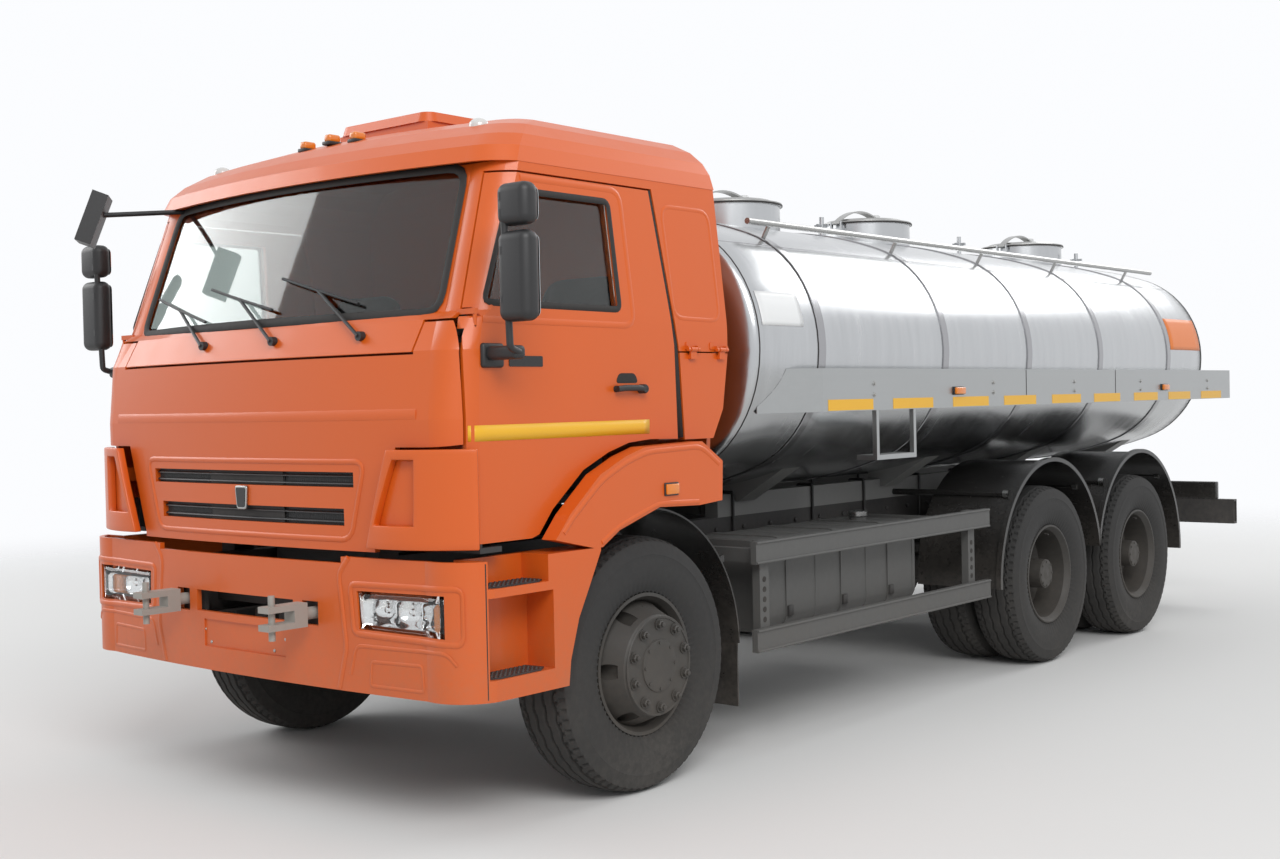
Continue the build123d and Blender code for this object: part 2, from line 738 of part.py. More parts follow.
# Roof: plan sections drawn in towards a crown across, hollow, with the hatch's opening
crown_z, shoulder_z = 2785, 2705
hatch_front, hatch_rear, hatch_half = -330, 230, 300
# columns: height, nose, corner across, corner along, side across, side's front end, rear
roof_sections = (
    (2500, -868, 975, -770, 1137, -650, 565),
    (2565, -838, 968, -738, 1118, -615, 562),
    (2618, -780, 950, -675, 1085, -560, 556),
    (2672, -690, 895, -585, 1025, -480, 546),
    (2722, -540, 760, -440, 930, -330, 520),
    (2800, -150, 400, -60, 600, 20, 380),
)


def roof_block(inset):
    """The roof's outer form, moved in by inset on every side but the bottom."""
    sketches = []
    for row, (height, nose, corner_x, corner_y, side_x, side_y, rear) in enumerate(roof_sections):
        cx, cy = corner_x - 0.7 * inset, fy + corner_y + 0.7 * inset
        sx, sy = side_x - 0.8 * inset, fy + side_y + 0.4 * inset
        back = fy + rear - 0.8 * inset
        mx, my = (cx + sx) / 2 + 20, (cy + sy) / 2 - 20
        with BuildSketch(Plane.XY.offset(height - (0.6 * inset if row else 0))) as section:
            with BuildLine():
                ThreePointArc((-cx, cy), (0, fy + nose + 0.8 * inset), (cx, cy))
                ThreePointArc((cx, cy), (mx, my), (sx, sy))
                Polyline((sx, sy), (sx, back), (-sx, back), (-sx, sy))
                ThreePointArc((-sx, sy), (-mx, my), (-cx, cy))
            make_face()
        sketches.append(section.sketch)
    with BuildPart(mode=Mode.PRIVATE) as block:
        add(loft(sections=sketches, ruled=True, mode=Mode.PRIVATE))
        with BuildSketch(cross_plane(fy + 900)):
            with BuildLine():
                Polyline((-1000, shoulder_z - inset), (-1300, 2560), (-1300, 2400),
                         (1300, 2400), (1300, 2560),
                         (1000, shoulder_z - inset))
                ThreePointArc((1000, shoulder_z - inset), (0, crown_z - inset), (-1000, shoulder_z - inset))
            make_face()
        extrude(amount=2000, mode=Mode.INTERSECT)
    return block.part


with BuildPart() as cab_roof:
    add(roof_block(0))
    add(roof_block(cab_wall), mode=Mode.SUBTRACT)
    with Locations((0, fy + (hatch_front + hatch_rear) / 2, crown_z)):
        Box(2 * hatch_half - 60, hatch_rear - hatch_front - 60, 200, mode=Mode.SUBTRACT)
    with Locations((0, fy + (hatch_front + hatch_rear) / 2, crown_z - 12)):
        Box(2 * hatch_half - 20, hatch_rear - hatch_front - 20, 60)
        Box(2 * hatch_half - 60, hatch_rear - hatch_front - 60, 200, mode=Mode.SUBTRACT)
keep("cab_roof", cab_roof)

hatch_z = crown_z + 18 + seat_gap
with BuildPart() as roof_hatch:
    with BuildSketch(Plane.XY.offset(hatch_z)):
        with Locations((0, fy + (hatch_front + hatch_rear) / 2)):
            RectangleRounded(2 * hatch_half, hatch_rear - hatch_front, 60)
    extrude(amount=42, taper=18)
keep("roof_hatch", roof_hatch)

# Windscreen: a slab of the hull a little inside its face
with BuildPart() as windscreen:
    add(hull(9))
    add(hull(15, 40), mode=Mode.SUBTRACT)
    add(
        front_zone(mirrored(((screen_low_x - seat_gap, screen_low_z + seat_gap),
                             (screen_top_x - seat_gap, screen_top_z - seat_gap)))),
        mode=Mode.INTERSECT,
    )
keep("windscreen", windscreen)

# Lifting front panel with the two grille slots
upper_slot = (656, 1318, 57)
lower_slot = (600, 1176, 65)
with BuildPart() as undercut:
    add(side_zone(stations(((-1040, 1400), (-1040, 1440), (-960, 1449), (-900, 1449), (-900, 1400)))))
    Box(1800, 9000, 9000, mode=Mode.SUBTRACT)
with BuildPart() as front_panel:
    add(cab_hull.part)
    add(
        front_zone(
            mirrored(
                (
                    (1300, deflector_top_z + door_gap), (1300, ear_top_z), (ear_x, ear_top_z),
                    (ear_x, panel_hinge_z),
                )[::-1]
                + (
                    (deflector_inner_top_x - panel_gap, deflector_top_z + door_gap),
                    (deflector_inner_low_x - panel_gap, deflector_bottom_z),
                    (deflector_inner_low_x - panel_gap, panel_bottom_z),
                )
            ),
            back=100,
        ),
        mode=Mode.INTERSECT,
    )
    add(side_zone(stations(((-1300, 900), (door_low_y - front_gap, 900),
                            (door_low_y - front_gap, door_kink_z),
                            (door_high_y - front_gap, jog_z), (-1300, 2000)))), mode=Mode.INTERSECT)
    add(undercut.part, mode=Mode.SUBTRACT)
    for slot_half, slot_z, slot_height in (upper_slot, lower_slot):
        with Locations((0, fy - 1000, slot_z)):
            Box(2 * slot_half, 400, slot_height, mode=Mode.SUBTRACT)
keep("front_panel", front_panel)

# Dark mesh behind the slots, carried on the panel
with BuildPart() as grille:
    add(hull(cab_wall + seat_gap))
    add(hull(cab_wall + 10, 40), mode=Mode.SUBTRACT)
    add(
        front_zone(mirrored(((upper_slot[0] + 20, lower_slot[1] - 55),
                             (upper_slot[0] + 20, upper_slot[1] + 50)))),
        mode=Mode.INTERSECT,
    )
keep("grille", grille)

# Corner deflectors: blunt wedges round the cab's lower corners, each with a blind pocket
with BuildPart() as deflectors:
    with BuildSketch(Plane.XY.offset(deflector_bottom_z)):
        with BuildLine():
            ThreePointArc((700, fy - 1098), (1070, fy - 1062), (1200, fy - 974))
            Polyline((1200, fy - 974), (1152, fy - 968), (1152, fy - 978))
            ThreePointArc((1152, fy - 978), (1050, fy - 1034), (700, fy - 1068))
            Line((700, fy - 1068), (700, fy - 1098))
        make_face()
    extrude(amount=deflector_top_z - deflector_bottom_z)
    add(
        front_zone(((deflector_inner_low_x, deflector_bottom_z), (deflector_inner_top_x, deflector_top_z),
                    (1300, deflector_top_z), (1300, deflector_bottom_z)), back=-900),
        mode=Mode.INTERSECT,
    )
    with BuildSketch(cross_plane(fy - 1050)):
        with BuildLine():
            Polyline((812, 1152), (996, 1160), (1002, 1396), (912, 1396), close=True)
        make_face()
    extrude(amount=60, mode=Mode.SUBTRACT)
    with BuildSketch(cross_plane(fy - 1032)):
        with BuildLine():
            Polyline((798, 1118), (1024, 1126), (1030, 1418), (898, 1418), close=True)
        make_face()
    extrude(amount=18)
    bracket_rear = bulkhead_y - 10 - seat_gap
    with Locations((1045, fy + (bracket_rear - 1044) / 2, 1310)):
        Box(50, bracket_rear + 1044, 60)
    mirror(about=Plane.YZ)
keep("deflectors", deflectors)

# Bumper: a bowed shell with its lamp, fork and cooling openings and the two steps at each side
bumper_low_z, bumper_top_z = 525, 1030
bumper_wall = 22
bumper_edge = stations(
    ((-353, 1080), (-353, 1018), (-420, 892), (-486, 773), (-536, 620), (-552, 500), (-552, 400), (200, 400),
     (200, 1080))
)
lamp_low, lamp_high, lamp_inner, lamp_outer = 755, 910, 690, 1125
fork_x, fork_z = 420, 806
step_zones = ((602, 897, -955, -625), (930, 1100, -955, -650))
swing_radius = hypot(front_track_half + tyre_width / 2 - kingpin_x, tyre_radius) + 14


def bumper_plan(inset):
    """The bumper's outline in plan, moved in by inset."""
    with BuildSketch() as plan:
        with BuildLine():
            ThreePointArc((-1030, fy - 1062 + inset), (0, fy - 1112 + inset), (1030, fy - 1062 + inset))
            ThreePointArc((1030, fy - 1062 + inset), (1192 - 0.7 * inset, fy - 1024 + 0.7 * inset),
                          (half_width - inset, fy - 930))
            Polyline((half_width - inset, fy - 930), (half_width - inset, fy - 200),
                     (-half_width + inset, fy - 200),
                     (-half_width + inset, fy - 930))
            ThreePointArc((-half_width + inset, fy - 930), (-1192 + 0.7 * inset, fy - 1024 + 0.7 * inset),
                          (-1030, fy - 1062 + inset))
        make_face()
    return plan.sketch


with BuildPart() as bumper:
    with BuildSketch(Plane.XY.offset(bumper_low_z)):
        add(bumper_plan(0))
    extrude(amount=bumper_top_z - bumper_low_z)
    with BuildSketch(Plane.XY.offset(bumper_low_z - 10)):
        add(bumper_plan(bumper_wall))
    extrude(amount=bumper_top_z - bumper_low_z + 20, mode=Mode.SUBTRACT)
    for side in (1, -1):
        with Locations((side * (half_width - 92), fy - 600, (bumper_low_z + bumper_top_z) / 2)):
            Box(150, 740, bumper_top_z - bumper_low_z)
        for low, high, front, rear in step_zones:
            with Locations((side * half_width, fy + (front + rear) / 2, (low + high) / 2)):
                Box(2 * 140, rear - front, high - low, mode=Mode.SUBTRACT)
        with Locations((side * kingpin_x, fy, tyre_radius)):
            Sphere(swing_radius, mode=Mode.SUBTRACT)
        with BuildSketch(cross_plane(fy - 976)):
            with BuildLine():
                Polyline((side * lamp_inner, lamp_low + 8), (side * lamp_outer, lamp_low),
                         (side * lamp_outer, lamp_high), (side * (lamp_inner - 8), lamp_high - 4), close=True)
            make_face()
        extrude(amount=500, mode=Mode.SUBTRACT)
        with Locations((side * fork_x, fy - 1000, fork_z)):
            Box(92, 400, 92, mode=Mode.SUBTRACT)
        with Locations((side * 385, fy - 1077.3, bumper_top_z - 60),
                       (side * 385, fy - 1077.3, bumper_low_z + 90)):
            Box(70, 34, 60)
    with Locations((0, fy - 1000, 808)):
        Box(640, 400, 86, mode=Mode.SUBTRACT)
    with Locations((0, fy - 1000, bumper_top_z)):
        Box(1200, 400, 50, mode=Mode.SUBTRACT)
    with Locations((0, fy - 1111, 678)):
        Box(540, 18, 112, mode=Mode.SUBTRACT)
    add(side_zone(bumper_edge), mode=Mode.SUBTRACT)
keep("bumper", bumper)

# Headlamps: one clear block in each opening
with BuildPart() as headlamps:
    with BuildSketch(cross_plane(fy - 978)):
        with BuildLine():
            Polyline((lamp_inner + seat_gap, lamp_low + 8 + seat_gap),
                     (lamp_outer - seat_gap, lamp_low + seat_gap),
                     (lamp_outer - seat_gap, lamp_high - seat_gap),
                     (lamp_inner - 8 + seat_gap, lamp_high - 4 - seat_gap), close=True)
        make_face()
    extrude(amount=300)
    with BuildSketch(Plane.XY.offset(lamp_low - 20)):
        add(bumper_plan(6))
    extrude(amount=lamp_high - lamp_low + 40, mode=Mode.INTERSECT)
    mirror(about=Plane.YZ)
keep("headlamps", headlamps)

# Tow forks: a round shank from the rail's end plate, then two cheeks and a pin
end_plate_y = -1060
fork_tip_y = -front_reach
with BuildPart() as tow_forks:
    with BuildSketch(cross_plane(fy + end_plate_y - seat_gap)):
        with Locations((fork_x, fork_z)):
            Circle(24)
    extrude(amount=100)
    with Locations((fork_x, fy + fork_tip_y + 90, fork_z)):
        Box(64, 180, 92)
        Box(100, 181, 44, mode=Mode.SUBTRACT)
    with Locations((fork_x, fy + fork_tip_y + 150, fork_z)):
        Box(64, 60, 92)
    with Locations((fork_x, fy + fork_tip_y + 38, fork_z)):
        Cylinder(13, 170)
    mirror(about=Plane.YZ)
keep("tow_forks", tow_forks)

# Front wings: the flared lip over each wheel arch
wing_top = ((-605, 1078), (-525, 1167), (-349, 1309), (-200, 1372), (-74, 1407),
            (300, 1417), (440, 1330), (432, 1163))
wing_arch = ((276, 1152), (12, 1161), (-238, 1088), (-341, 1030), (-390, 1030))
wing_inner_x = 1176
with BuildPart() as wings:
    with BuildSketch(side_plane(wing_inner_x)):
        with BuildLine():
            Polyline(*stations(wing_top + wing_arch), close=True)
        make_face()
    extrude(amount=half_width - wing_inner_x)
    mirror(about=Plane.YZ)
keep("wings", wings)

# Mudguards under the wings: a rolled liner, its bracket from the rail and a hanging flap
liner_radius, liner_wall = 630, 8
liner_inner_x = 700
arch_radius, arch_wall = 664, 6
arch_inner_x, arch_outer_x = 705, 1238
stay_offset = 460
stay_z = tyre_radius + sqrt(arch_radius**2 - stay_offset**2) + 18
with BuildPart() as mudguards:
    with BuildSketch(side_plane(liner_inner_x)):
        with Locations((fy, tyre_radius)):
            Circle(liner_radius + liner_wall)
            Circle(liner_radius, mode=Mode.SUBTRACT)
        with BuildLine():
            Polyline(*stations(((-325, 1050), (-700, 1400), (-1400, 1400), (-1400, -200),
                                (1400, -200), (1400, 520),
                                (560, 520), (0, 520))), close=True)
        make_face(mode=Mode.SUBTRACT)
    extrude(amount=wing_inner_x - seat_gap - liner_inner_x)
    with Locations((1025, fy + liner_radius + 4, 390)):
        Box(280, 8, 300)
    with Locations(((rail_outer_x + 1170) / 2, fy + 530, 900)):
        Box(1170 - rail_outer_x - 2 * seat_gap, 28, 28)
    for axle_y, low_y, high_y in ((wheelbase, -900, 655), (wheelbase + bogie_spacing, -655, 900)):
        with BuildSketch(side_plane(arch_inner_x)):
            with Locations((fy + axle_y, tyre_radius)):
                Circle(arch_radius + arch_wall)
                Circle(arch_radius, mode=Mode.SUBTRACT)
            with Locations((fy + axle_y + (low_y + high_y) / 2, tyre_radius + 500 - 20)):
                Rectangle(high_y - low_y, 1000, mode=Mode.INTERSECT)
        extrude(amount=arch_outer_x - arch_inner_x)
        with BuildSketch(side_plane(arch_outer_x - 30)):
            with Locations((fy + axle_y, tyre_radius)):
                Circle(arch_radius + 24)
                Circle(arch_radius + arch_wall - 1, mode=Mode.SUBTRACT)
            with Locations((fy + axle_y + (low_y + high_y) / 2, tyre_radius + 500 - 20)):
                Rectangle(high_y - low_y, 1000, mode=Mode.INTERSECT)
        extrude(amount=30)
        for stay_y in (-stay_offset, stay_offset):
            with BuildSketch(side_plane(rail_outer_x + seat_gap)):
                with Locations((fy + axle_y + stay_y, stay_z)):
                    Circle(18)
            extrude(amount=1150 - rail_outer_x)
    mirror(about=Plane.YZ)
keep("mudguards", mudguards)

# Doors: skin and frame in one thickness, window cut, glass and black fittings
window_points = ((-850, 1962), (-111, 1958), (-145, 2388), (-690, 2388))
door_bottom = ((61, 1434), (-74, 1424), (-200, 1390), (-349, 1327), (-525, 1186), (-600, 1097), (-640, 1085))


def slab_of_hull(outer, inner):
    """The cab's side wall between two insets."""
    with BuildPart(mode=Mode.PRIVATE) as wall:
        add(hull(outer))
        add(hull(inner, 40), mode=Mode.SUBTRACT)
    return wall.part


with BuildPart() as door_left:
    add(slab_of_hull(0, door_thickness))
    add(
        front_zone(((1100, 1000), (1100, jog_z), (pillar_foot_x + door_gap, jog_z),
                    (pillar_top_x + door_gap, door_top_z), (1300, door_top_z), (1300, 1000)), back=900),
        mode=Mode.INTERSECT,
    )
    add(side_zone(door_front + stations(door_rear) + stations(door_bottom)), mode=Mode.INTERSECT)
    add(side_zone(stations(window_points)), mode=Mode.SUBTRACT)
    with Locations((1030, fy - 972, 1498)):
        Box(200, 200, 736, mode=Mode.SUBTRACT)
    with BuildSketch(Plane.XY.offset(cab_bottom_z - 10)):
        with Locations((door_hinge_x, door_hinge_y)):
            Circle(hinge_pin_radius + seat_gap)
    extrude(amount=50, mode=Mode.SUBTRACT)
    with BuildSketch(Plane.XY.offset(jog_z - 40)):
        with Locations((door_hinge_x, door_hinge_y)):
            Circle(hinge_pin_radius + seat_gap)
    extrude(amount=60, mode=Mode.SUBTRACT)
both_sides("door", door_left)

with BuildPart() as door_glass_left:
    add(slab_of_hull(20, 25))
    with Locations((1200, 0, 1800)):
        Box(200, 9000, 2000, mode=Mode.INTERSECT)
    add(side_zone(stations(((-849.6, 1962.4), (-111.4, 1958.4), (-145.3, 2387.6), (-689.7, 2387.6)))),
        mode=Mode.INTERSECT)
both_sides("door_glass", door_glass_left)

mirror_x = 1368
with BuildPart() as door_fittings_left:
    with Locations((1165, fy - 840, 1768)):
        Box(40, 110, 90)
    with Locations((1245, fy - 850, 1775)):
        Box(170, 60, 50)
    with BuildLine(mode=Mode.PRIVATE) as bracket:
        FilletPolyline((1320, fy - 850, 1775), (1330, fy - 905, 1790), (1330, fy - 925, 2330), radius=15)
    with BuildSketch(Plane(bracket.line @ 0, z_dir=bracket.line % 0)):
        Circle(13)
    sweep(path=bracket.line)
    for low, high in ((1880, 2200), (2218, 2368)):
        with BuildSketch(Plane.XY.offset(low)):
            with Locations((mirror_x + 8, fy - 900)):
                RectangleRounded(150, 84, 26)
        extrude(amount=high - low)
    with Locations((1175, fy - 74, 1640)):
        Box(44, 190, 30)
    add(hull(-seat_gap), mode=Mode.SUBTRACT)
both_sides("door_fittings", door_fittings_left)

# Side flaps behind the doors, each with two barrels on the pins of the side frame
with BuildPart() as flap_left:
    add(cab_hull.part)
    with Locations((split_x + 6 + 500, 0, 1800)):
        Box(1000, 9000, 2000, mode=Mode.INTERSECT)
    add(
        side_zone(stations((*flap_front, (490, flap_bottom_z), (700, flap_top_z)))),
        mode=Mode.INTERSECT,
    )
    for barrel_y in flap_barrel_ys:
        with BuildSketch(cross_plane(fy + barrel_y + 20)):
            with Locations((flap_hinge_x, flap_hinge_z)):
                Circle(flap_pin_radius + 5)
            with Locations((flap_hinge_x - 4, flap_hinge_z - 20)):
                Rectangle(10, 40)
            with Locations((flap_hinge_x - 12, flap_hinge_z - 31)):
                Rectangle(26, 18)
            with Locations((flap_hinge_x, flap_hinge_z)):
                Circle(flap_pin_radius + seat_gap, mode=Mode.SUBTRACT)
        extrude(amount=40)
both_sides("flap", flap_left)

# Leaf springs: front packs on the beam, rear packs from a centre pivot to both housings
front_spring_x, rear_spring_x = 405, 500
with BuildPart() as springs:
    with BuildSketch(side_plane(front_spring_x - 40)):
        with BuildLine():
            ThreePointArc((fy - 720, 640), (fy, 485 + seat_gap), (fy + 720, 640))
            Line((fy + 720, 640), (fy + 720, 664))
            ThreePointArc((fy + 720, 664), (fy, 562), (fy - 720, 664))
            Line((fy - 720, 664), (fy - 720, 640))
        make_face()
    extrude(amount=80)
    for hanger_y in (-700, 700):
        with Locations((front_spring_x, fy + hanger_y, (rail_top_z - rail_height + 645) / 2 - seat_gap)):
            Box(80, 60, rail_top_z - rail_height - 645)
    pivot_y = fy + wheelbase + bogie_spacing / 2
    with BuildSketch(side_plane(rear_spring_x - 50)):
        with BuildLine():
            reach = bogie_spacing / 2 + 40
            end_z = tyre_radius + 75 + seat_gap
            ThreePointArc((pivot_y - reach, end_z), (pivot_y, 716), (pivot_y + reach, end_z))
            Line((pivot_y + reach, end_z), (pivot_y + reach, 622))
            ThreePointArc((pivot_y + reach, 622), (pivot_y, 812), (pivot_y - reach, 622))
            Line((pivot_y - reach, 622), (pivot_y - reach, end_z))
        make_face()
    extrude(amount=100)
    with Locations(((rail_outer_x + rear_spring_x) / 2, pivot_y, 690)):
        Box(rear_spring_x - rail_outer_x + 100, 190, 60)
    with Locations((rail_outer_x - rail_width / 2, pivot_y,
                    (rail_top_z - rail_height + 660) / 2 - seat_gap / 2)):
        Box(rail_width, 300, rail_top_z - rail_height - 660 - seat_gap)
    mirror(about=Plane.YZ)
keep("springs", springs)

# Engine and gearbox as plain blocks, with the propeller shafts to both rear axles
engine_half, engine_front, engine_rear = 320, -700, 430
engine_low_z, engine_top_z = 640, 1400
gearbox_rear, shaft_radius = 1120, 45
with BuildPart() as powertrain:
    with Locations((0, fy + (engine_front + engine_rear) / 2, (engine_low_z + engine_top_z) / 2)):
        Box(2 * engine_half, engine_rear - engine_front, engine_top_z - engine_low_z)
    with Locations((0, fy + (engine_rear + gearbox_rear) / 2, 850)):
        Box(380, gearbox_rear - engine_rear, 380)
    for mount_y in (-350, 250):
        with Locations((0, fy + mount_y, 840)):
            Box(2 * (rail_outer_x - rail_wall - seat_gap), 90, 60)
    for start, end in (((gearbox_rear, 722), (wheelbase - 190, 566)), ((wheelbase + 100, 600), (4817, 580))):
        along = Vector(0, end[0] - start[0], end[1] - start[1])
        with BuildSketch(Plane(origin=(0, fy + start[0], start[1]), x_dir=(1, 0, 0), z_dir=along)):
            Circle(shaft_radius)
        extrude(amount=along.length)
    add(axles.part, mode=Mode.SUBTRACT)
keep("powertrain", powertrain)

# Fuel tank with its straps, filler cap and brackets, on the left
fuel_front, fuel_rear, fuel_low_z, fuel_top_z = 910, 2300, 520, 940
fuel_inner_x, fuel_outer_x = 600, 1100
with BuildPart() as fuel_tank:
    with BuildSketch(cross_plane(fy + fuel_rear)):
        with Locations(((fuel_inner_x + fuel_outer_x) / 2, (fuel_low_z + fuel_top_z) / 2)):
            RectangleRounded(fuel_outer_x - fuel_inner_x, fuel_top_z - fuel_low_z, 70)
    extrude(amount=fuel_rear - fuel_front)
    for strap_y in (1130, 1600, 2040):
        with BuildSketch(cross_plane(fy + strap_y + 25)):
            with Locations(((fuel_inner_x + fuel_outer_x) / 2, (fuel_low_z + fuel_top_z) / 2)):
                RectangleRounded(fuel_outer_x - fuel_inner_x + 12, fuel_top_z - fuel_low_z + 12, 76)
        extrude(amount=50)
    for arm_y in (1130, 2040):
        with Locations(((rail_outer_x + seat_gap + fuel_inner_x + 20) / 2, fy + arm_y, 790)):
            Box(fuel_inner_x + 20 - rail_outer_x - seat_gap, 60, 150)
    with Locations((850, fy + 2150, fuel_top_z + 14)):
        Cylinder(45, 40)
keep("fuel_tank", fuel_tank)

# Battery box and two air tanks, on the right
with BuildPart() as battery_box:
    with Locations((-855, fy + 1220, 740)):
        Box(500, 620, 400)
    with Locations((-855, fy + 1220, 945)):
        Box(520, 640, 14)
    with Locations((-(rail_outer_x + seat_gap + 610) / 2, fy + 1220, 800)):
        Box(610 - rail_outer_x - seat_gap, 200, 120)
    for tank_z in (610, 870):
        with BuildSketch(cross_plane(fy + 2560)):
            with Locations((-800, tank_z)):
                Circle(118)
        extrude(amount=880)
    with Locations((-(rail_outer_x + seat_gap + 760) / 2, fy + 2120, 800)):
        Box(760 - rail_outer_x - seat_gap, 60, 100)
    with Locations((-740, fy + 2120, 740)):
        Box(60, 60, 220)
keep("battery_box", battery_box)

# Side guards: two rails on two posts each side, with arms to the frame
guard_front, guard_rear, guard_outer_x = 700, 2900, 1228
with BuildPart() as side_guards:
    for low, high in ((470, 570), (860, 960)):
        with Locations((guard_outer_x - 15, fy + (guard_front + guard_rear) / 2, (low + high) / 2)):
            Box(30, guard_rear - guard_front, high - low)
    for post_y in (800, 2740):
        with Locations((guard_outer_x - 50, fy + post_y, 715)):
            Box(40, 70, 490)
        with Locations(((rail_outer_x + seat_gap + guard_outer_x - 60) / 2, fy + post_y, 890)):
            Box(guard_outer_x - 60 - rail_outer_x - seat_gap, 50, 60)
    mirror(about=Plane.YZ)
keep("side_guards", side_guards)

# Rear bar on two brackets from the rails
bar_rear, bar_depth, bar_low_z, bar_high_z, bar_half = overall_length / 2, 60, 585, 765, 1235
with BuildPart() as rear_bar:
    with Locations((0, bar_rear - bar_depth / 2, (bar_low_z + bar_high_z) / 2)):
        Box(2 * bar_half, bar_depth, bar_high_z - bar_low_z)
        Box(2 * bar_half + 10, bar_depth - 12, bar_high_z - bar_low_z - 30, mode=Mode.SUBTRACT)
    with Locations((0, bar_rear - 4, (bar_low_z + bar_high_z) / 2)):
        Box(2 * bar_half, 8, bar_high_z - bar_low_z)
    bracket_front = fy + rail_rear + seat_gap
    for side in (1, -1):
        with BuildSketch(side_plane(side * 392 - 40)):
            with BuildLine():
                Polyline((bracket_front, 760), (bracket_front, 980), (bracket_front + 60, 980),
                         (bar_rear - bar_depth + 10, 760), (bar_rear - bar_depth + 10, 590),
                         (bar_rear - bar_depth - 60, 590), close=True)
            make_face()
        extrude(amount=80)
keep("rear_bar", rear_bar)

# Marker lamps: roof, wings, skirts and tail
with BuildPart() as marker_lamps:
    with Locations((-165, fy - 600, 2712), (0, fy - 600, 2722), (165, fy - 600, 2712)):
        Box(46, 70, 46)
    with Locations((845, fy - 560, 2682), (-845, fy - 560, 2682)):
        Cylinder(44, 56)
    add(roof_block(-seat_gap), mode=Mode.SUBTRACT)
    for side in (1, -1):
        for lamp_y in (2525, 5401):
            with Locations((side * (half_width + seat_gap + 12), fy + lamp_y, 1610)):
                Box(24, 110, 44)
        with Locations((side * (half_width + seat_gap + 8), fy + 85, 1230)):
            Box(16, 90, 54)
        with Locations((side * 900, bar_rear - 40, bar_high_z + seat_gap + 65)):
            Box(420, 60, 130)
keep("marker_lamps", marker_lamps)

# Front mirror on its arm from the right-hand pillar
with BuildPart() as front_mirror:
    with BuildSketch(Plane(origin=(-893, fy - 720, 2496), x_dir=(0, 0, 1), z_dir=(-0.25, -1, -0.1))):
        Circle(11)
    extrude(amount=388)
    add(hull(-seat_gap), mode=Mode.SUBTRACT)
    add(roof_block(-seat_gap), mode=Mode.SUBTRACT)
    with Locations(Plane(origin=(-1010, fy - 1120, 2440), z_dir=(0.55, 0.75, -0.35))):
        Box(190, 230, 70)
keep("front_mirror", front_mirror)


def screen_y(x, z, out):
    """The hull's face at a point of the front view between belt and drip rail, moved out."""
    low, high = next(pair for pair in zip(hull_sections, hull_sections[1:]) if z <= pair[1][0])
    share = (z - low[0]) / (high[0] - low[0])
    nose, corner_x, corner_y = (low[i] + share * (high[i] - low[i]) for i in (1, 2, 3))
    return fy + nose + (corner_y - nose) * (x / corner_x) ** 2 - out


# Wipers: pivot, arm and blade, three times
# columns: pivot across, blade's left end (across, up), blade's right end (across, up)
pivot_z = 1856
wiper_table = (
    (-292, (-860, 2087), (-335, 1958)),
    (181, (-353, 2096), (126, 1984)),
    (671, (140, 2109), (600, 1984)),
)
with BuildPart() as wipers:
    for pivot_x, left, right in wiper_table:
        pivot = Vector(pivot_x, screen_y(pivot_x, pivot_z, 24), pivot_z)
        mid_x, mid_z = (left[0] + right[0]) / 2, (left[1] + right[1]) / 2
        middle = Vector(mid_x, screen_y(mid_x, mid_z, 14), mid_z)
        for start, end, radius in ((pivot + Vector(0, 24, 0), pivot, 18), (pivot, middle, 7)):
            with BuildSketch(Plane(origin=start, z_dir=end - start)):
                Circle(radius)
            extrude(amount=(end - start).length)
        with BuildLine() as blade:
            ThreePointArc((left[0], screen_y(*left, 13), left[1]), middle,
                          (right[0], screen_y(*right, 13), right[1]))
        with BuildSketch(Plane(origin=blade.line @ 0, z_dir=blade.line % 0)):
            Circle(6)
        sweep(path=blade.line)
    add(hull(-seat_gap), mode=Mode.SUBTRACT)
keep("wipers", wipers)

# Seats on pedestals
with BuildPart() as seats:
    for side in (1, -1):
        with Locations((side * 720, fy - 120, cab_floor_z + floor_thickness + 120)):
            Box(360, 380, 240)
        with Locations((side * 720, fy - 130, 1530)):
            Box(500, 500, 120)
        with Locations(Plane(origin=(side * 720, fy + 130, 1840), x_dir=(1, 0, 0), z_dir=(0, 0.2, 1))):
            Box(480, 110, 600)
keep("seats", seats)

# Dashboard across the cab with the steering column
wheel_x, wheel_y, wheel_z, wheel_ring = 640, fy - 440, 1800, 225
wheel_axis = (0, 0.62, 0.78)
with BuildPart() as dashboard:
    with BuildSketch(side_plane(-1090)):
        with BuildLine():
            Polyline(*stations(((bulkhead_y + 10.3, 1545), (bulkhead_y + 10.3, 1842),
                                (-760, 1850), (-620, 1810),
                                (-560, 1720), (-590, 1560))), close=True)
        make_face()
    extrude(amount=2180)
    with BuildSketch(Plane(origin=(wheel_x, wheel_y, wheel_z), z_dir=wheel_axis)):
        Circle(38)
    extrude(amount=-230)
    with BuildSketch(Plane(origin=(wheel_x, wheel_y, wheel_z), z_dir=wheel_axis)):
        Circle(12)
    extrude(amount=34)
keep("dashboard", dashboard)

with BuildPart() as steering_wheel:
    rim_plane = Plane(origin=Vector(wheel_x, wheel_y, wheel_z) + Vector(*wheel_axis) * 30, z_dir=wheel_axis)
    with Locations(rim_plane):
        Torus(wheel_ring, 15)
    with BuildSketch(rim_plane):
        Circle(45)
        with PolarLocations(0, 3, start_angle=90):
            with Locations((wheel_ring / 2, 0)):
                Rectangle(wheel_ring, 30)
    extrude(amount=12, both=True)
    with BuildSketch(rim_plane.offset(-40)):
        Circle(12 + seat_gap)
    extrude(amount=45, mode=Mode.SUBTRACT)
keep("steering_wheel", steering_wheel)

for label, piece in pieces.items():
    piece.part.label = label
    export_step(piece.part, f"parts/{label}.step")
print(f"{len(pieces)} nodes, front axle at y = {fy:.0f}")
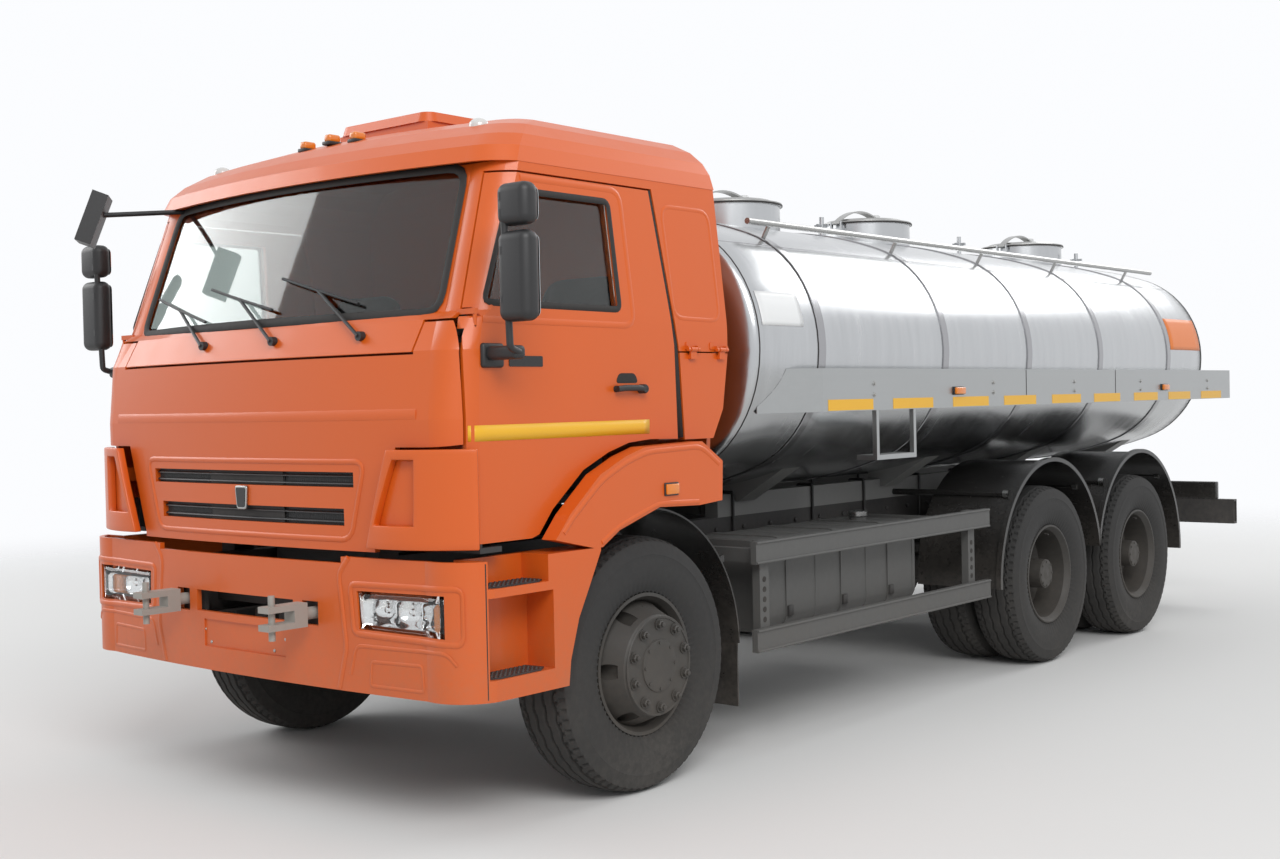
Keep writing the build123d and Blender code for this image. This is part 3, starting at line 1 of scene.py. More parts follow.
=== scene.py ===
import bpy
import bmesh
import math
import numpy as np
from mathutils import Matrix, Vector


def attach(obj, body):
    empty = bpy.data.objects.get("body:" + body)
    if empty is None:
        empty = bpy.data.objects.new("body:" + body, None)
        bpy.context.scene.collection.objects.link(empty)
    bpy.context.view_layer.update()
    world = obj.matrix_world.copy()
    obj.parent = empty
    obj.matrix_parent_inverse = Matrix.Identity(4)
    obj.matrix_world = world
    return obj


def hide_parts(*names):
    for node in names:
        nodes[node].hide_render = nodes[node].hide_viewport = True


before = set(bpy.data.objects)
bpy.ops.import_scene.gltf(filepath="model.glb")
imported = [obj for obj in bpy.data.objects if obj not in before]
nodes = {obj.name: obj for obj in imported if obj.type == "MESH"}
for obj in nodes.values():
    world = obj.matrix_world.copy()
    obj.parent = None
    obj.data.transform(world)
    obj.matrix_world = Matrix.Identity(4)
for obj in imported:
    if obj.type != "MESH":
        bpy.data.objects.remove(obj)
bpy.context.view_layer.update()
axleY = -2.760  # the front axle's place along the truck; every shape's lengths run rearwards from it
rearAxles = {"mid": 3.690, "rear": 5.010}  # the two rear axles behind the front one
wheelZ = 0.520  # height of the wheels' centres
bodySide = 1.250  # half width over the skirts and the wings
leftRight = (("left", 1), ("right", -1))
outwards, rearwards, upwards, forwards = (1, 0, 0), (0, 1, 0), (0, 0, 1), (0, -1, 0)  # on the left
origin = (0, 0, 0)  # where a shape is made that copies() then carries to its places
print("frame loaded:", len(nodes), "nodes")


# Faces of a grid of points numbered row by row; a wrapped side joins its last line to its first
def gridFaces(rows, cols, wrapRows, wrapCols):
    r, c = np.meshgrid(np.arange(rows if wrapRows else rows - 1), np.arange(cols if wrapCols else cols - 1),
                       indexing="ij")
    below, beside = (r + 1) % rows, (c + 1) % cols
    return np.stack([r * cols + c, r * cols + beside, below * cols + beside, below * cols + c],
                    axis=-1).reshape(-1, 4)


# A grid of points as a shape: points, four-sided and three-sided faces; a cap is a fan round its row's mean
def sheetOf(grid, wrapRows=False, wrapCols=False, caps=False):
    grid = np.asarray(grid, float)
    rows, cols = grid.shape[:2]
    points, quads = grid.reshape(-1, 3), gridFaces(rows, cols, wrapRows, wrapCols)
    tris = np.zeros((0, 3), int)
    if caps:
        c = np.arange(cols)
        nextC, last = (c + 1) % cols, (rows - 1) * cols
        tris = np.vstack([np.stack([nextC, c, np.full(cols, len(points))], 1),
                          np.stack([last + c, last + nextC, np.full(cols, len(points) + 1)], 1)])
        points = np.vstack([points, grid[0].mean(axis=0), grid[-1].mean(axis=0)])
    return points, quads, tris


# Several shapes as one, their point numbers moved on
def joined(shapes):
    points, quads, tris, base = [], [], [], 0
    for p, q, t in shapes:
        points.append(p)
        quads.append(q + base)
        tris.append(t + base)
        base += len(p)
    return np.vstack(points), np.vstack(quads), np.vstack(tris)


# A shape repeated at each of the places
def copies(shape, places):
    p, q, t = shape
    return joined([(p + place, q, t) for place in np.asarray(places, float)])


# A shape's image across the truck's middle plane
def otherSide(shape):
    p, q, t = shape
    return p * [-1, 1, 1], q[:, ::-1], t[:, ::-1]


# Shapes and their images across the middle plane, as one
def bothSides(*shapes):
    shape = joined(shapes)
    return joined([shape, otherSide(shape)])


# Rounded block: each point of a small ball is carried out to the corner of the block that it faces
def block(centre, size, rounding=0.004, steps=2, turn=None):
    half = np.maximum(np.asarray(size, float) / 2 - rounding, 0)
    step = np.radians(np.linspace(0, 90, steps + 1))
    lat = np.concatenate([step - math.pi / 2, step])
    lon = np.concatenate([k * math.pi / 2 + step for k in range(4)])
    up = np.repeat([-1, 1], steps + 1)
    across, along = np.repeat([1, -1, -1, 1], steps + 1), np.repeat([1, 1, -1, -1], steps + 1)
    grid = np.stack([
        rounding * np.outer(np.cos(lat), np.cos(lon)) + half[0] * across,
        rounding * np.outer(np.cos(lat), np.sin(lon)) + half[1] * along,
        (rounding * np.sin(lat) + half[2] * up)[:, None] + 0 * lon,
    ], axis=-1)
    if turn is not None:
        grid = grid @ np.asarray(turn).T
    return sheetOf(grid + np.asarray(centre, float), wrapCols=True, caps=True)


# Two directions square to an axis and to each other
def squareTo(axis):
    axis = np.asarray(axis, float) / np.linalg.norm(axis)
    other = np.array([0, 0, 1.0]) if abs(axis[2]) < 0.9 else np.array([0, 1.0, 0])
    first = np.cross(other, axis)
    first /= np.linalg.norm(first)
    return axis, first, np.cross(axis, first)


# Turned shape: each profile point (along the axis, radius) is carried round the axis in equal steps
def turned(centre, profile, axis=outwards, segments=48, closed=False):
    axis, first, second = squareTo(axis)
    profile = np.asarray(profile, float)
    angle = np.arange(segments) / segments * 2 * math.pi
    ring = np.cos(angle)[:, None] * first + np.sin(angle)[:, None] * second
    grid = profile[:, 0, None, None] * axis + profile[:, 1, None, None] * ring[None]
    return sheetOf(grid + np.asarray(centre, float), wrapRows=closed, wrapCols=True, caps=not closed)


# Tube: a ring of the given radius carried along a path, square to its direction at each point
def tube(path, radius, sides=10, closed=False, flat=1.0, up=(0.13, 0.21, 0.97)):
    path = np.asarray(path, float)
    ahead = np.roll(path, -1, 0) - np.roll(path, 1, 0) if closed else np.gradient(path, axis=0)
    ahead /= np.linalg.norm(ahead, axis=1)[:, None]
    first = np.cross(np.asarray(up, float)[None], ahead)
    first /= np.linalg.norm(first, axis=1)[:, None]
    second = np.cross(ahead, first)
    angle = np.arange(sides) / sides * 2 * math.pi
    wide, high = np.cos(angle)[None, :, None], flat * np.sin(angle)[None, :, None]
    ring = wide * first[:, None] + high * second[:, None]
    return sheetOf(path[:, None] + ring * radius, wrapRows=closed, wrapCols=True, caps=not closed)


# Outline with rounded corners: each corner becomes a parabola between points set back along both its sides
def softCorners(points, setBack, steps=5, closed=True):
    p = np.asarray(points, float)
    before, after = np.roll(p, 1, 0) - p, np.roll(p, -1, 0) - p
    reachA = np.linalg.norm(before, axis=1)[:, None]
    reachB = np.linalg.norm(after, axis=1)[:, None]
    back = np.minimum(setBack, np.minimum(reachA, reachB) / 2)
    a, b = p + before / reachA * back, p + after / reachB * back
    t = np.linspace(0, 1, steps)[None, :, None]
    curve = (1 - t) ** 2 * a[:, None] + 2 * t * (1 - t) * p[:, None] + t ** 2 * b[:, None]
    if closed:
        return curve.reshape(-1, p.shape[1])
    return np.vstack([p[:1], curve[1:-1].reshape(-1, p.shape[1]), p[-1:]])


# More points on each run of an outline, so that it can follow a bent face
def finer(points, longest, closed=True):
    p = np.asarray(points, float)
    ahead = np.roll(p, -1, 0) if closed else np.vstack([p[1:], p[-1:]])
    length = np.linalg.norm(ahead - p, axis=1)
    runs = [p[i] + (ahead[i] - p[i]) * np.linspace(0, 1, max(int(np.ceil(length[i] / longest)), 1),
                                                   endpoint=False)[:, None]
            for i in range(len(p) - (0 if closed else 1))]
    return np.vstack(runs + ([] if closed else [p[-1:]]))


# Sections of the cab's outer form, in metres from the ground and from the front axle
cabForm = {
    "height": [1.045, 1.540, 1.790, 1.905, 1.935, 2.500],
    "nose": [-1.092, -1.100, -1.085, -1.040, -1.030, -0.835],
    "cornerX": [1.040, 1.040, 1.030, 1.000, 0.997, 0.960],
    "cornerY": [-1.030, -1.038, -1.010, -0.948, -0.903, -0.712],
    "sideX": [1.160, 1.166, 1.168, 1.168, 1.167, 1.135],
    "sideY": [-0.905, -0.905, -0.900, -0.880, -0.835, -0.640],
}


# Columns of the form at a height, read on straight lines between the sections
def formAt(z, *names):
    return [np.interp(z, cabForm["height"], cabForm[name]) for name in names]


# Circle through three points: the centre is where the two chords' middle lines cross
def circleThrough(ax, ay, bx, by, cx, cy):
    a2, b2, c2 = ax ** 2 + ay ** 2, bx ** 2 + by ** 2, cx ** 2 + cy ** 2
    twice = 2 * (ax * (by - cy) + bx * (cy - ay) + cx * (ay - by))
    ox = (a2 * (by - cy) + b2 * (cy - ay) + c2 * (ay - by)) / twice
    oy = (a2 * (cx - bx) + b2 * (ax - cx) + c2 * (bx - ax)) / twice
    return ox, oy, np.hypot(ax - ox, ay - oy)


# The cab's front face: an arc through the nose and both corners at each height, moved out by a little
def cabFront(x, z, out=0.0):
    nose, cornerX, cornerY = formAt(z, "nose", "cornerX", "cornerY")
    rise = cornerY - nose
    radius = (cornerX ** 2 + rise ** 2) / (2 * rise)
    return nose + radius - np.sqrt(radius ** 2 - np.asarray(x) ** 2) - out


# The cab's side face: flat behind the side's front end, and before it the arc from the side to the corner
def cabSide(y, z, out=0.0):
    cornerX, cornerY, sideX, sideY = formAt(z, "cornerX", "cornerY", "sideX", "sideY")
    ox, oy, radius = circleThrough(cornerX, cornerY, (cornerX + sideX) / 2 + 0.022,
                                   (cornerY + sideY) / 2 - 0.022, sideX, sideY)
    bent = ox + np.sqrt(np.maximum(radius ** 2 - (y - oy) ** 2, 0))
    return np.where(y < sideY, bent, sideX) + out


# Points (across, up) laid on the cab's front face
def onFront(points, out):
    p = np.asarray(points, float)
    return np.stack([p[:, 0], cabFront(p[:, 0], p[:, 1], out), p[:, 1]], axis=1)


# Points (along, up) laid on the cab's side face
def onSide(points, out):
    p = np.asarray(points, float)
    return np.stack([cabSide(p[:, 0], p[:, 1], out), p[:, 0], p[:, 1]], axis=1)


# The bumper's face, upright: one arc out to its bend on both sides and a tighter one round to the side
def onBumper(points, out):
    p = np.asarray(points, float)
    side, reach = np.sign(p[:, 0]), np.abs(p[:, 0])
    bendX, bendY = 1.030, -1.062
    ox, oy, radius = circleThrough(-bendX, bendY, 0, -1.112, bendX, bendY)
    cx, cy, bend = circleThrough(bendX, bendY, 1.192, -1.024, bodySide, -0.930)
    front = oy - np.sqrt(radius ** 2 - reach ** 2) - out
    turn = np.arccos(np.clip((reach - cx) / bend, -1, 1))
    corner = reach > bendX
    x = np.where(corner, cx + (bend + out) * np.cos(turn), reach)
    y = np.where(corner, cy - (bend + out) * np.sin(turn), front)
    return np.stack([side * x, y, p[:, 1]], axis=1)


# Flat faces square to one axis: (across, up) at a place along, (along, up) at a place across, (across, along)
# at a height; out moves forwards, outwards or upwards
def onCross(y):
    return lambda p, out: np.insert(np.asarray(p, float), 1, y - out, axis=1)


def onUpright(x):
    return lambda p, out: np.insert(np.asarray(p, float), 0, x + out, axis=1)


def onLevel(z):
    return lambda p, out: np.insert(np.asarray(p, float), 2, z + out, axis=1)


# Thin prism: an outline laid on a face at two depths, closed by fans
def plate(outline, face, low, high):
    return sheetOf(np.array([face(outline, low), face(outline, high)]), wrapCols=True, caps=True)


# Bead: a flattened tube that lies on a face along an outline
def bead(outline, face, width, flat, normal, closed=True, out=0.0):
    return tube(face(finer(outline, 0.04, closed), out), width / 2, sides=8, closed=closed, flat=flat,
                up=normal)


# Rectangle from two opposite corners
def rectangle(x0, z0, x1, z1):
    return [(x0, z0), (x1, z0), (x1, z1), (x0, z1)]


# Patch between two edges given as equal lists of points: a straight blend of them, laid on a face
def patch(edgeA, edgeB, rows, face, out):
    a, b = np.asarray(edgeA, float), np.asarray(edgeB, float)
    t = np.linspace(0, 1, rows)[:, None, None]
    flat = (1 - t) * a[None] + t * b[None]
    return sheetOf(face(flat.reshape(-1, a.shape[1]), out).reshape(rows, len(a), 3))


# A piece of the truck from its shapes, with its material, body and finishing modifiers; a slot is looked up
# for its material unless another is named, and an empty name gives none, but the slot is not stored on the
# piece
def piece(name, shapes, material, body="chassis", slot=None, bevel=0, solid=0, sharp=38, stands=()):
    points, quads, tris = joined(shapes if isinstance(shapes, list) else [shapes])
    mesh = bpy.data.meshes.new(name)
    mesh.from_pydata((points + [0, axleY, 0]).tolist(), [], quads.tolist() + tris.tolist())
    form = bmesh.new()
    form.from_mesh(mesh)
    bmesh.ops.dissolve_degenerate(form, dist=1e-6, edges=form.edges)
    bmesh.ops.recalc_face_normals(form, faces=form.faces)
    form.to_mesh(mesh)
    form.free()
    mesh.shade_smooth()
    mesh.set_sharp_from_angle(angle=math.radians(sharp))
    mesh.materials.append(material)
    thing = bpy.data.objects.new(name, mesh)
    bpy.context.scene.collection.objects.link(thing)
    if solid:
        wall = thing.modifiers.new("wall", "SOLIDIFY")
        wall.thickness, wall.offset = solid, 0
    if bevel:
        edge = thing.modifiers.new("edge", "BEVEL")
        edge.width, edge.segments, edge.limit_method, edge.angle_limit = bevel, 2, "ANGLE", math.radians(40)
    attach(thing, body)
    slot = slotOf.get(material) if slot is None else slot
    if stands:
        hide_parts(*stands)
    return thing


# A shader group with named inputs and outputs: (name, kind, start value)
def newGroup(name, inputs, outputs):
    group = bpy.data.node_groups.new(name, "ShaderNodeTree")
    for label, kind, value in inputs:
        socket = group.interface.new_socket(label, in_out="INPUT", socket_type="NodeSocket" + kind)
        socket.default_value = value
    for label, kind in outputs:
        group.interface.new_socket(label, in_out="OUTPUT", socket_type="NodeSocket" + kind)
    return group, group.nodes.new("NodeGroupInput"), group.nodes.new("NodeGroupOutput")


# A shader node: keywords set its properties and inputs, the table feeds inputs from nodes or with numbers
def addNode(tree, kind, feeds=None, **values):
    node = tree.nodes.new("ShaderNode" + kind)
    for key, value in values.items():
        if hasattr(node, key):
            setattr(node, key, value)
        else:
            node.inputs[key.replace("_", " ")].default_value = value
    for socket, source in (feeds or {}).items():
        if isinstance(source, bpy.types.NodeSocket):
            tree.links.new(source, node.inputs[socket])
        else:
            node.inputs[socket].default_value = source
    return node


# Output of one arithmetic node on numbers or other outputs
def mathOf(tree, operation, *terms, clamp=False):
    return addNode(tree, "Math", dict(enumerate(terms)), operation=operation, use_clamp=clamp).outputs[0]


# Output of one noise node
def noiseAt(tree, place, detail, **values):
    return addNode(tree, "TexNoise", {"Vector": place}, Detail=detail, **values).outputs["Fac"]


# Road dirt: thick at the ground and fading upwards, broken up by two sizes of noise
def makeDirtGroup():
    group, into, out = newGroup("roadDirt", [
        ("Colour", "Color", (0.5, 0.5, 0.5, 1)), ("Dirt", "Color", (0.16, 0.14, 0.12, 1)),
        ("Top", "Float", 1.2), ("Amount", "Float", 0.5), ("Film", "Float", 0.06),
    ], [("Colour", "Color"), ("Mask", "Float")])
    place = addNode(group, "TexCoord").outputs["Object"]
    height = addNode(group, "SeparateXYZ", {0: place}).outputs["Z"]
    fade = addNode(group, "MapRange", {"Value": height, "From Max": into.outputs["Top"]},
                   interpolation_type="SMOOTHSTEP", To_Min=1, To_Max=0)
    broad = noiseAt(group, place, 5, Scale=2.3, Roughness=0.62)
    fineSpots = noiseAt(group, place, 6, Scale=34, Roughness=0.7)
    mixed = mathOf(group, "MULTIPLY", broad, fineSpots)
    lifted = mathOf(group, "MULTIPLY_ADD", mixed, 3.4, -0.15)
    low = mathOf(group, "MULTIPLY", lifted, fade.outputs[0], clamp=True)
    strong = mathOf(group, "MULTIPLY", low, into.outputs["Amount"])
    film = mathOf(group, "MULTIPLY", mixed, into.outputs["Film"])
    mask = mathOf(group, "ADD", strong, film, clamp=True)
    blend = addNode(group, "MixRGB", {0: mask, 1: into.outputs["Colour"], 2: into.outputs["Dirt"]})
    group.links.new(blend.outputs[0], out.inputs["Colour"])
    group.links.new(mask, out.inputs["Mask"])
    return group


# Roughness round its middle value: the centred noise times the spread is added to it
def roughFrom(group, into, noise):
    return mathOf(group, "MULTIPLY_ADD", mathOf(group, "SUBTRACT", noise, 0.5), into.outputs["Spread"],
                  into.outputs["Roughness"], clamp=True)


# Fine grain: a roughness from one noise, and a bump height from it and one seven times finer
def makeGrainGroup():
    group, into, out = newGroup("fineGrain", [
        ("Scale", "Float", 60.0), ("Roughness", "Float", 0.5), ("Spread", "Float", 0.15),
    ], [("Roughness", "Float"), ("Height", "Float")])
    place = addNode(group, "TexCoord").outputs["Object"]
    coarse = addNode(group, "TexNoise", {"Vector": place, "Scale": into.outputs["Scale"]}, Detail=4,
                     Roughness=0.6)
    tight = mathOf(group, "MULTIPLY", into.outputs["Scale"], 7)
    small = addNode(group, "TexNoise", {"Vector": place, "Scale": tight}, Detail=2)
    height = mathOf(group, "ADD", coarse.outputs["Fac"], small.outputs["Fac"])
    group.links.new(roughFrom(group, into, coarse.outputs["Fac"]), out.inputs["Roughness"])
    group.links.new(height, out.inputs["Height"])
    return group


# Drawn metal: noise stretched along one axis, as a streak value, a roughness and a bump height
def makeDrawnGroup():
    group, into, out = newGroup("drawnMetal", [
        ("Stretch", "Vector", (1, 1, 1)), ("Roughness", "Float", 0.25), ("Spread", "Float", 0.2),
    ], [("Streak", "Float"), ("Roughness", "Float"), ("Height", "Float")])
    place = addNode(group, "TexCoord").outputs["Object"]
    pulled = addNode(group, "VectorMath", {0: place, 1: into.outputs["Stretch"]}, operation="MULTIPLY")
    streak = noiseAt(group, pulled.outputs[0], 6, Scale=1, Roughness=0.65)
    group.links.new(roughFrom(group, into, streak), out.inputs["Roughness"])
    for label in ("Streak", "Height"):
        group.links.new(streak, out.inputs[label])
    return group


dirtGroup, grainGroup, drawnGroup = makeDirtGroup(), makeGrainGroup(), makeDrawnGroup()
# Inputs that all finishes share, and those of glass
plainLook = {"Coat Roughness": 0.08, "IOR": 1.5}
glassLook = {"Transmission Weight": 1.0, "IOR": 1.45}
glassRough = 0.03


# An empty material, its node tree and its shader
def newMaterial(name):
    material = bpy.data.materials.new(name)
    material.use_nodes = True
    return material, material.node_tree, material.node_tree.nodes["Principled BSDF"]


def setInputs(shader, look):
    for label, value in look.items():
        shader.inputs[label].default_value = value


# A finish: base colour with road dirt, roughness and bump from grain or from drawn metal
def finish(name, colour, rough=0.5, metal=0.0, coat=0.0, grain=60, spread=0.2, bump=0.1, depth=0.0004,
           dirt=0.4, dirtTop=1.2, film=0.06, dirtColour=(0.16, 0.14, 0.12, 1), stretch=None, sheen=0.0,
           mottle=0.0):
    material, tree, shader = newMaterial(name)
    material.diffuse_color = (*colour, 1)
    dirty = addNode(tree, "Group", node_tree=dirtGroup, Colour=(*colour, 1), Dirt=dirtColour, Top=dirtTop,
                    Amount=dirt, Film=film)
    tree.links.new(dirty.outputs["Colour"], shader.inputs["Base Color"])
    if stretch is None:
        skin = addNode(tree, "Group", node_tree=grainGroup, Scale=float(grain), Roughness=rough,
                       Spread=spread)
    else:
        skin = addNode(tree, "Group", node_tree=drawnGroup, Stretch=stretch, Roughness=rough, Spread=spread)
        if mottle:
            shade = addNode(tree, "MapRange", {"Value": skin.outputs["Streak"]}, To_Min=1 - mottle,
                            To_Max=1 + mottle)
            tinted = addNode(tree, "VectorMath", {0: dirty.outputs["Colour"], "Scale": shade.outputs[0]},
                             operation="SCALE")
            tree.links.new(tinted.outputs[0], shader.inputs["Base Color"])
    dulled = mathOf(tree, "MULTIPLY_ADD", dirty.outputs["Mask"], 0.5, skin.outputs["Roughness"], clamp=True)
    tree.links.new(dulled, shader.inputs["Roughness"])
    if bump:
        relief = addNode(tree, "Bump", {"Height": skin.outputs["Height"]}, Strength=bump, Distance=depth)
        tree.links.new(relief.outputs[0], shader.inputs["Normal"])
    setInputs(shader, {"Metallic": metal, "Coat Weight": coat, "Sheen Weight": sheen, **plainLook})
    return material


# Every finish: its name and colour, then how it differs from the plain one
cabPaint = finish("cabPaint", (0.62, 0.098, 0.004), rough=0.38, coat=0.16, grain=9, spread=0.12, bump=0.04,
                  dirt=0.42, dirtTop=1.15, film=0.10, dirtColour=(0.27, 0.16, 0.10, 1))
seamDark = finish("seamDark", (0.012, 0.010, 0.009), rough=0.7, dirt=0.3)
chassisPaint = finish("chassisPaint", (0.022, 0.022, 0.023), grain=40, bump=0.2, dirt=0.62, dirtTop=1.3)
beamPaint = finish("beamPaint", (0.20, 0.20, 0.195), grain=30, bump=0.15, dirt=0.5, dirtTop=1.1,
                   dirtColour=(0.12, 0.105, 0.09, 1))
guardPaint = finish("guardPaint", (0.085, 0.085, 0.082), rough=0.55, grain=30, bump=0.15, dirt=0.5,
                    dirtTop=1.0, dirtColour=(0.13, 0.115, 0.10, 1))
rimPaint = finish("rimPaint", (0.036, 0.034, 0.031), grain=35, bump=0.2, dirt=0.6, dirtTop=1.1,
                  dirtColour=(0.10, 0.085, 0.07, 1))
tankSteel = finish("tankSteel", (0.50, 0.51, 0.52), rough=0.24, metal=1, stretch=(1.5, 14, 1.5), spread=0.16,
                   bump=0.05, depth=0.002, dirt=0.0, film=0.05, mottle=0.10)
bandSteel = finish("bandSteel", (0.36, 0.36, 0.37), rough=0.20, metal=1, stretch=(3, 60, 3), spread=0.15,
                   bump=0.04, dirt=0.0, film=0.03)
skirtSteel = finish("skirtSteel", (0.40, 0.41, 0.41), rough=0.34, metal=1, stretch=(40, 1.2, 40),
                    bump=0.05, dirt=0.15, dirtTop=1.9, film=0.08, mottle=0.06)
fittingSteel = finish("fittingSteel", (0.40, 0.40, 0.39), rough=0.28, metal=1, grain=50, bump=0.05,
                      dirt=0.0, film=0.08)
tyreRubber = finish("tyreRubber", (0.020, 0.020, 0.020), rough=0.80, grain=45, bump=0.35, depth=0.001,
                    dirt=0.55, dirtTop=0.9, dirtColour=(0.085, 0.078, 0.07, 1), film=0.25)
blackPlastic = finish("blackPlastic", (0.014, 0.014, 0.015), rough=0.46, grain=120, bump=0.3, film=0.05)
glossBlack = finish("glossBlack", (0.010, 0.010, 0.010), rough=0.22, grain=20, bump=0.05, dirt=0.5)
castGrey = finish("castGrey", (0.33, 0.31, 0.28), rough=0.55, bump=0.4, depth=0.001, dirt=0.35,
                  dirtColour=(0.16, 0.13, 0.10, 1))
engineIron = finish("engineIron", (0.07, 0.072, 0.075), rough=0.6, metal=0.3, grain=25, bump=0.4, depth=0.001,
                    dirt=0.5, dirtTop=1.6)
seatCloth = finish("seatCloth", (0.035, 0.036, 0.040), rough=0.9, grain=260, spread=0.1, bump=0.5,
                   depth=0.0008, sheen=0.3, dirt=0.0)
dashPlastic = finish("dashPlastic", (0.030, 0.031, 0.034), rough=0.62, grain=220, bump=0.5, dirt=0.0)
yellowFilm = finish("yellowFilm", (0.78, 0.42, 0.015), rough=0.35, grain=300, spread=0.1, bump=0.15,
                    dirt=0.25, dirtTop=1.7, dirtColour=(0.4, 0.25, 0.06, 1))
whiteEnamel = finish("whiteEnamel", (0.74, 0.75, 0.75), rough=0.4, grain=30, bump=0.05, dirt=0.1)
orangeFilm = finish("orangeFilm", (0.80, 0.22, 0.05), rough=0.4, grain=200, bump=0.05, dirt=0.1)
amberLens = finish("amberLens", (0.72, 0.20, 0.010), rough=0.16, grain=80, spread=0.06, coat=0.5, dirt=0.2)
redLens = finish("redLens", (0.45, 0.012, 0.008), rough=0.16, grain=80, spread=0.06, coat=0.5, dirt=0.2)
clearWhite = finish("clearWhite", (0.62, 0.62, 0.60), rough=0.2, grain=80, spread=0.06, coat=0.5, dirt=0.1)
mirrorFace = finish("mirrorFace", (0.72, 0.74, 0.75), rough=0.04, metal=1, grain=10, spread=0.02, bump=0,
                    dirt=0.0, film=0.02)
bowlChrome = finish("bowlChrome", (0.80, 0.80, 0.80), rough=0.08, metal=1, grain=30, spread=0.05, bump=0.0,
                    dirt=0.0, film=0.02)


# Glass that lets the light through, with a roughness that varies a little
def makeGlass(name, tint):
    material, tree, shader = newMaterial(name)
    setInputs(shader, {"Base Color": (*tint, 1), **glassLook})
    skin = addNode(tree, "Group", node_tree=grainGroup, Scale=3.0, Roughness=glassRough, Spread=glassRough)
    tree.links.new(skin.outputs["Roughness"], shader.inputs["Roughness"])
    return material


windowGlass = makeGlass("windowGlass", (0.62, 0.67, 0.65))
lampGlass = makeGlass("lampGlass", (0.93, 0.94, 0.94))

ground = {"size": 30.0, "height": -0.0005, "fadeStart": 5.5, "fadeEnd": 15.0, "colour": (0.74, 0.74, 0.73, 1)}
skyColour, skyLight = (0.97, 0.98, 1.0, 1), 0.52


# Floor: pale, holding the truck's shadow, and fading out with distance so that the background shows
def makeFloor():
    size, height = ground["size"], ground["height"]
    mesh = bpy.data.meshes.new("floor")
    corners = [(x * size, y * size, height) for x, y in ((-1, -1), (1, -1), (1, 1), (-1, 1))]
    mesh.from_pydata(corners, [], [(0, 1, 2, 3)])
    floor = bpy.data.objects.new("floor", mesh)
    bpy.context.scene.collection.objects.link(floor)
    material, tree, shader = newMaterial("paleFloor")
    setInputs(shader, {"Base Color": ground["colour"], "Roughness": 0.9})
    away = addNode(tree, "VectorMath", {0: addNode(tree, "TexCoord").outputs["Object"]}, operation="LENGTH")
    fade = addNode(tree, "MapRange", {"Value": away.outputs["Value"]}, interpolation_type="SMOOTHERSTEP",
                   From_Min=ground["fadeStart"], From_Max=ground["fadeEnd"], To_Min=1.0, To_Max=0.0)
    tree.links.new(fade.outputs[0], shader.inputs["Alpha"])
    mesh.materials.append(material)


# Background: full white to the camera, in reflections and through glass, and dimmer as light on the surfaces
def makeWorld():
    world = bpy.data.worlds.new("studio")
    bpy.context.scene.world = world
    world.use_nodes = True
    tree = world.node_tree
    back = tree.nodes["Background"]
    rays = addNode(tree, "LightPath")
    shown = mathOf(tree, "MAXIMUM", rays.outputs["Is Camera Ray"], rays.outputs["Is Glossy Ray"])
    through = mathOf(tree, "MAXIMUM", shown, rays.outputs["Is Transmission Ray"])
    level = addNode(tree, "MapRange", {"Value": through}, To_Min=skyLight, To_Max=1.0)
    back.inputs["Color"].default_value = skyColour
    tree.links.new(level.outputs[0], back.inputs["Strength"])


# columns: name, place, what it looks at, width, height, power
lampTable = (
    ("keyLamp", (10.0, -9.0, 9.5), (0, -0.5, 1.2), 9.0, 6.0, 1250),
    ("fillLamp", (-11.0, -6.0, 7.0), (0, 0, 1.2), 8.0, 6.0, 500),
    ("rearLamp", (2.0, 12.0, 9.0), (0, 1.0, 1.2), 9.0, 5.0, 560),
)


# Lamps: wide rectangles of light, each turned towards its target
def makeLamps():
    for name, place, target, width, height, power in lampTable:
        light = bpy.data.lights.new(name, "AREA")
        light.shape, light.size, light.size_y, light.energy = "RECTANGLE", width, height, power
        lamp = bpy.data.objects.new(name, light)
        bpy.context.scene.collection.objects.link(lamp)
        lamp.location = place
        lamp.rotation_euler = (Vector(target) - Vector(place)).to_track_quat("-Z", "Y").to_euler()


# Camera of the photograph: place, turn, tilt and roll solved from the truck's own lengths
camera = {"place": (5.155, -7.529, 1.591), "yaw": 39.929, "pitch": -1.068, "roll": -1.209, "lens": 43.04}


def makeCamera():
    yaw, pitch, roll = (math.radians(camera[k]) for k in ("yaw", "pitch", "roll"))
    ahead = Vector((-math.sin(yaw) * math.cos(pitch), math.cos(yaw) * math.cos(pitch), math.sin(pitch)))
    right = Vector((math.cos(yaw), math.sin(yaw), 0))
    above = right.cross(ahead)
    right2 = right * math.cos(roll) + above * math.sin(roll)
    above2 = -right * math.sin(roll) + above * math.cos(roll)
    data = bpy.data.cameras.new("camera")
    data.lens, data.sensor_width = camera["lens"], 36.0
    data.clip_start, data.clip_end = 0.05, 400
    thing = bpy.data.objects.new("camera", data)
    bpy.context.scene.collection.objects.link(thing)
    turn = Matrix((right2, above2, -ahead)).transposed().to_4x4()
    thing.matrix_world = Matrix.Translation(camera["place"]) @ turn
    bpy.context.scene.camera = thing


makeFloor()
makeWorld()
makeLamps()
makeCamera()
bpy.context.scene.view_settings.view_transform = "Standard"
print("stage, lamps and camera made")

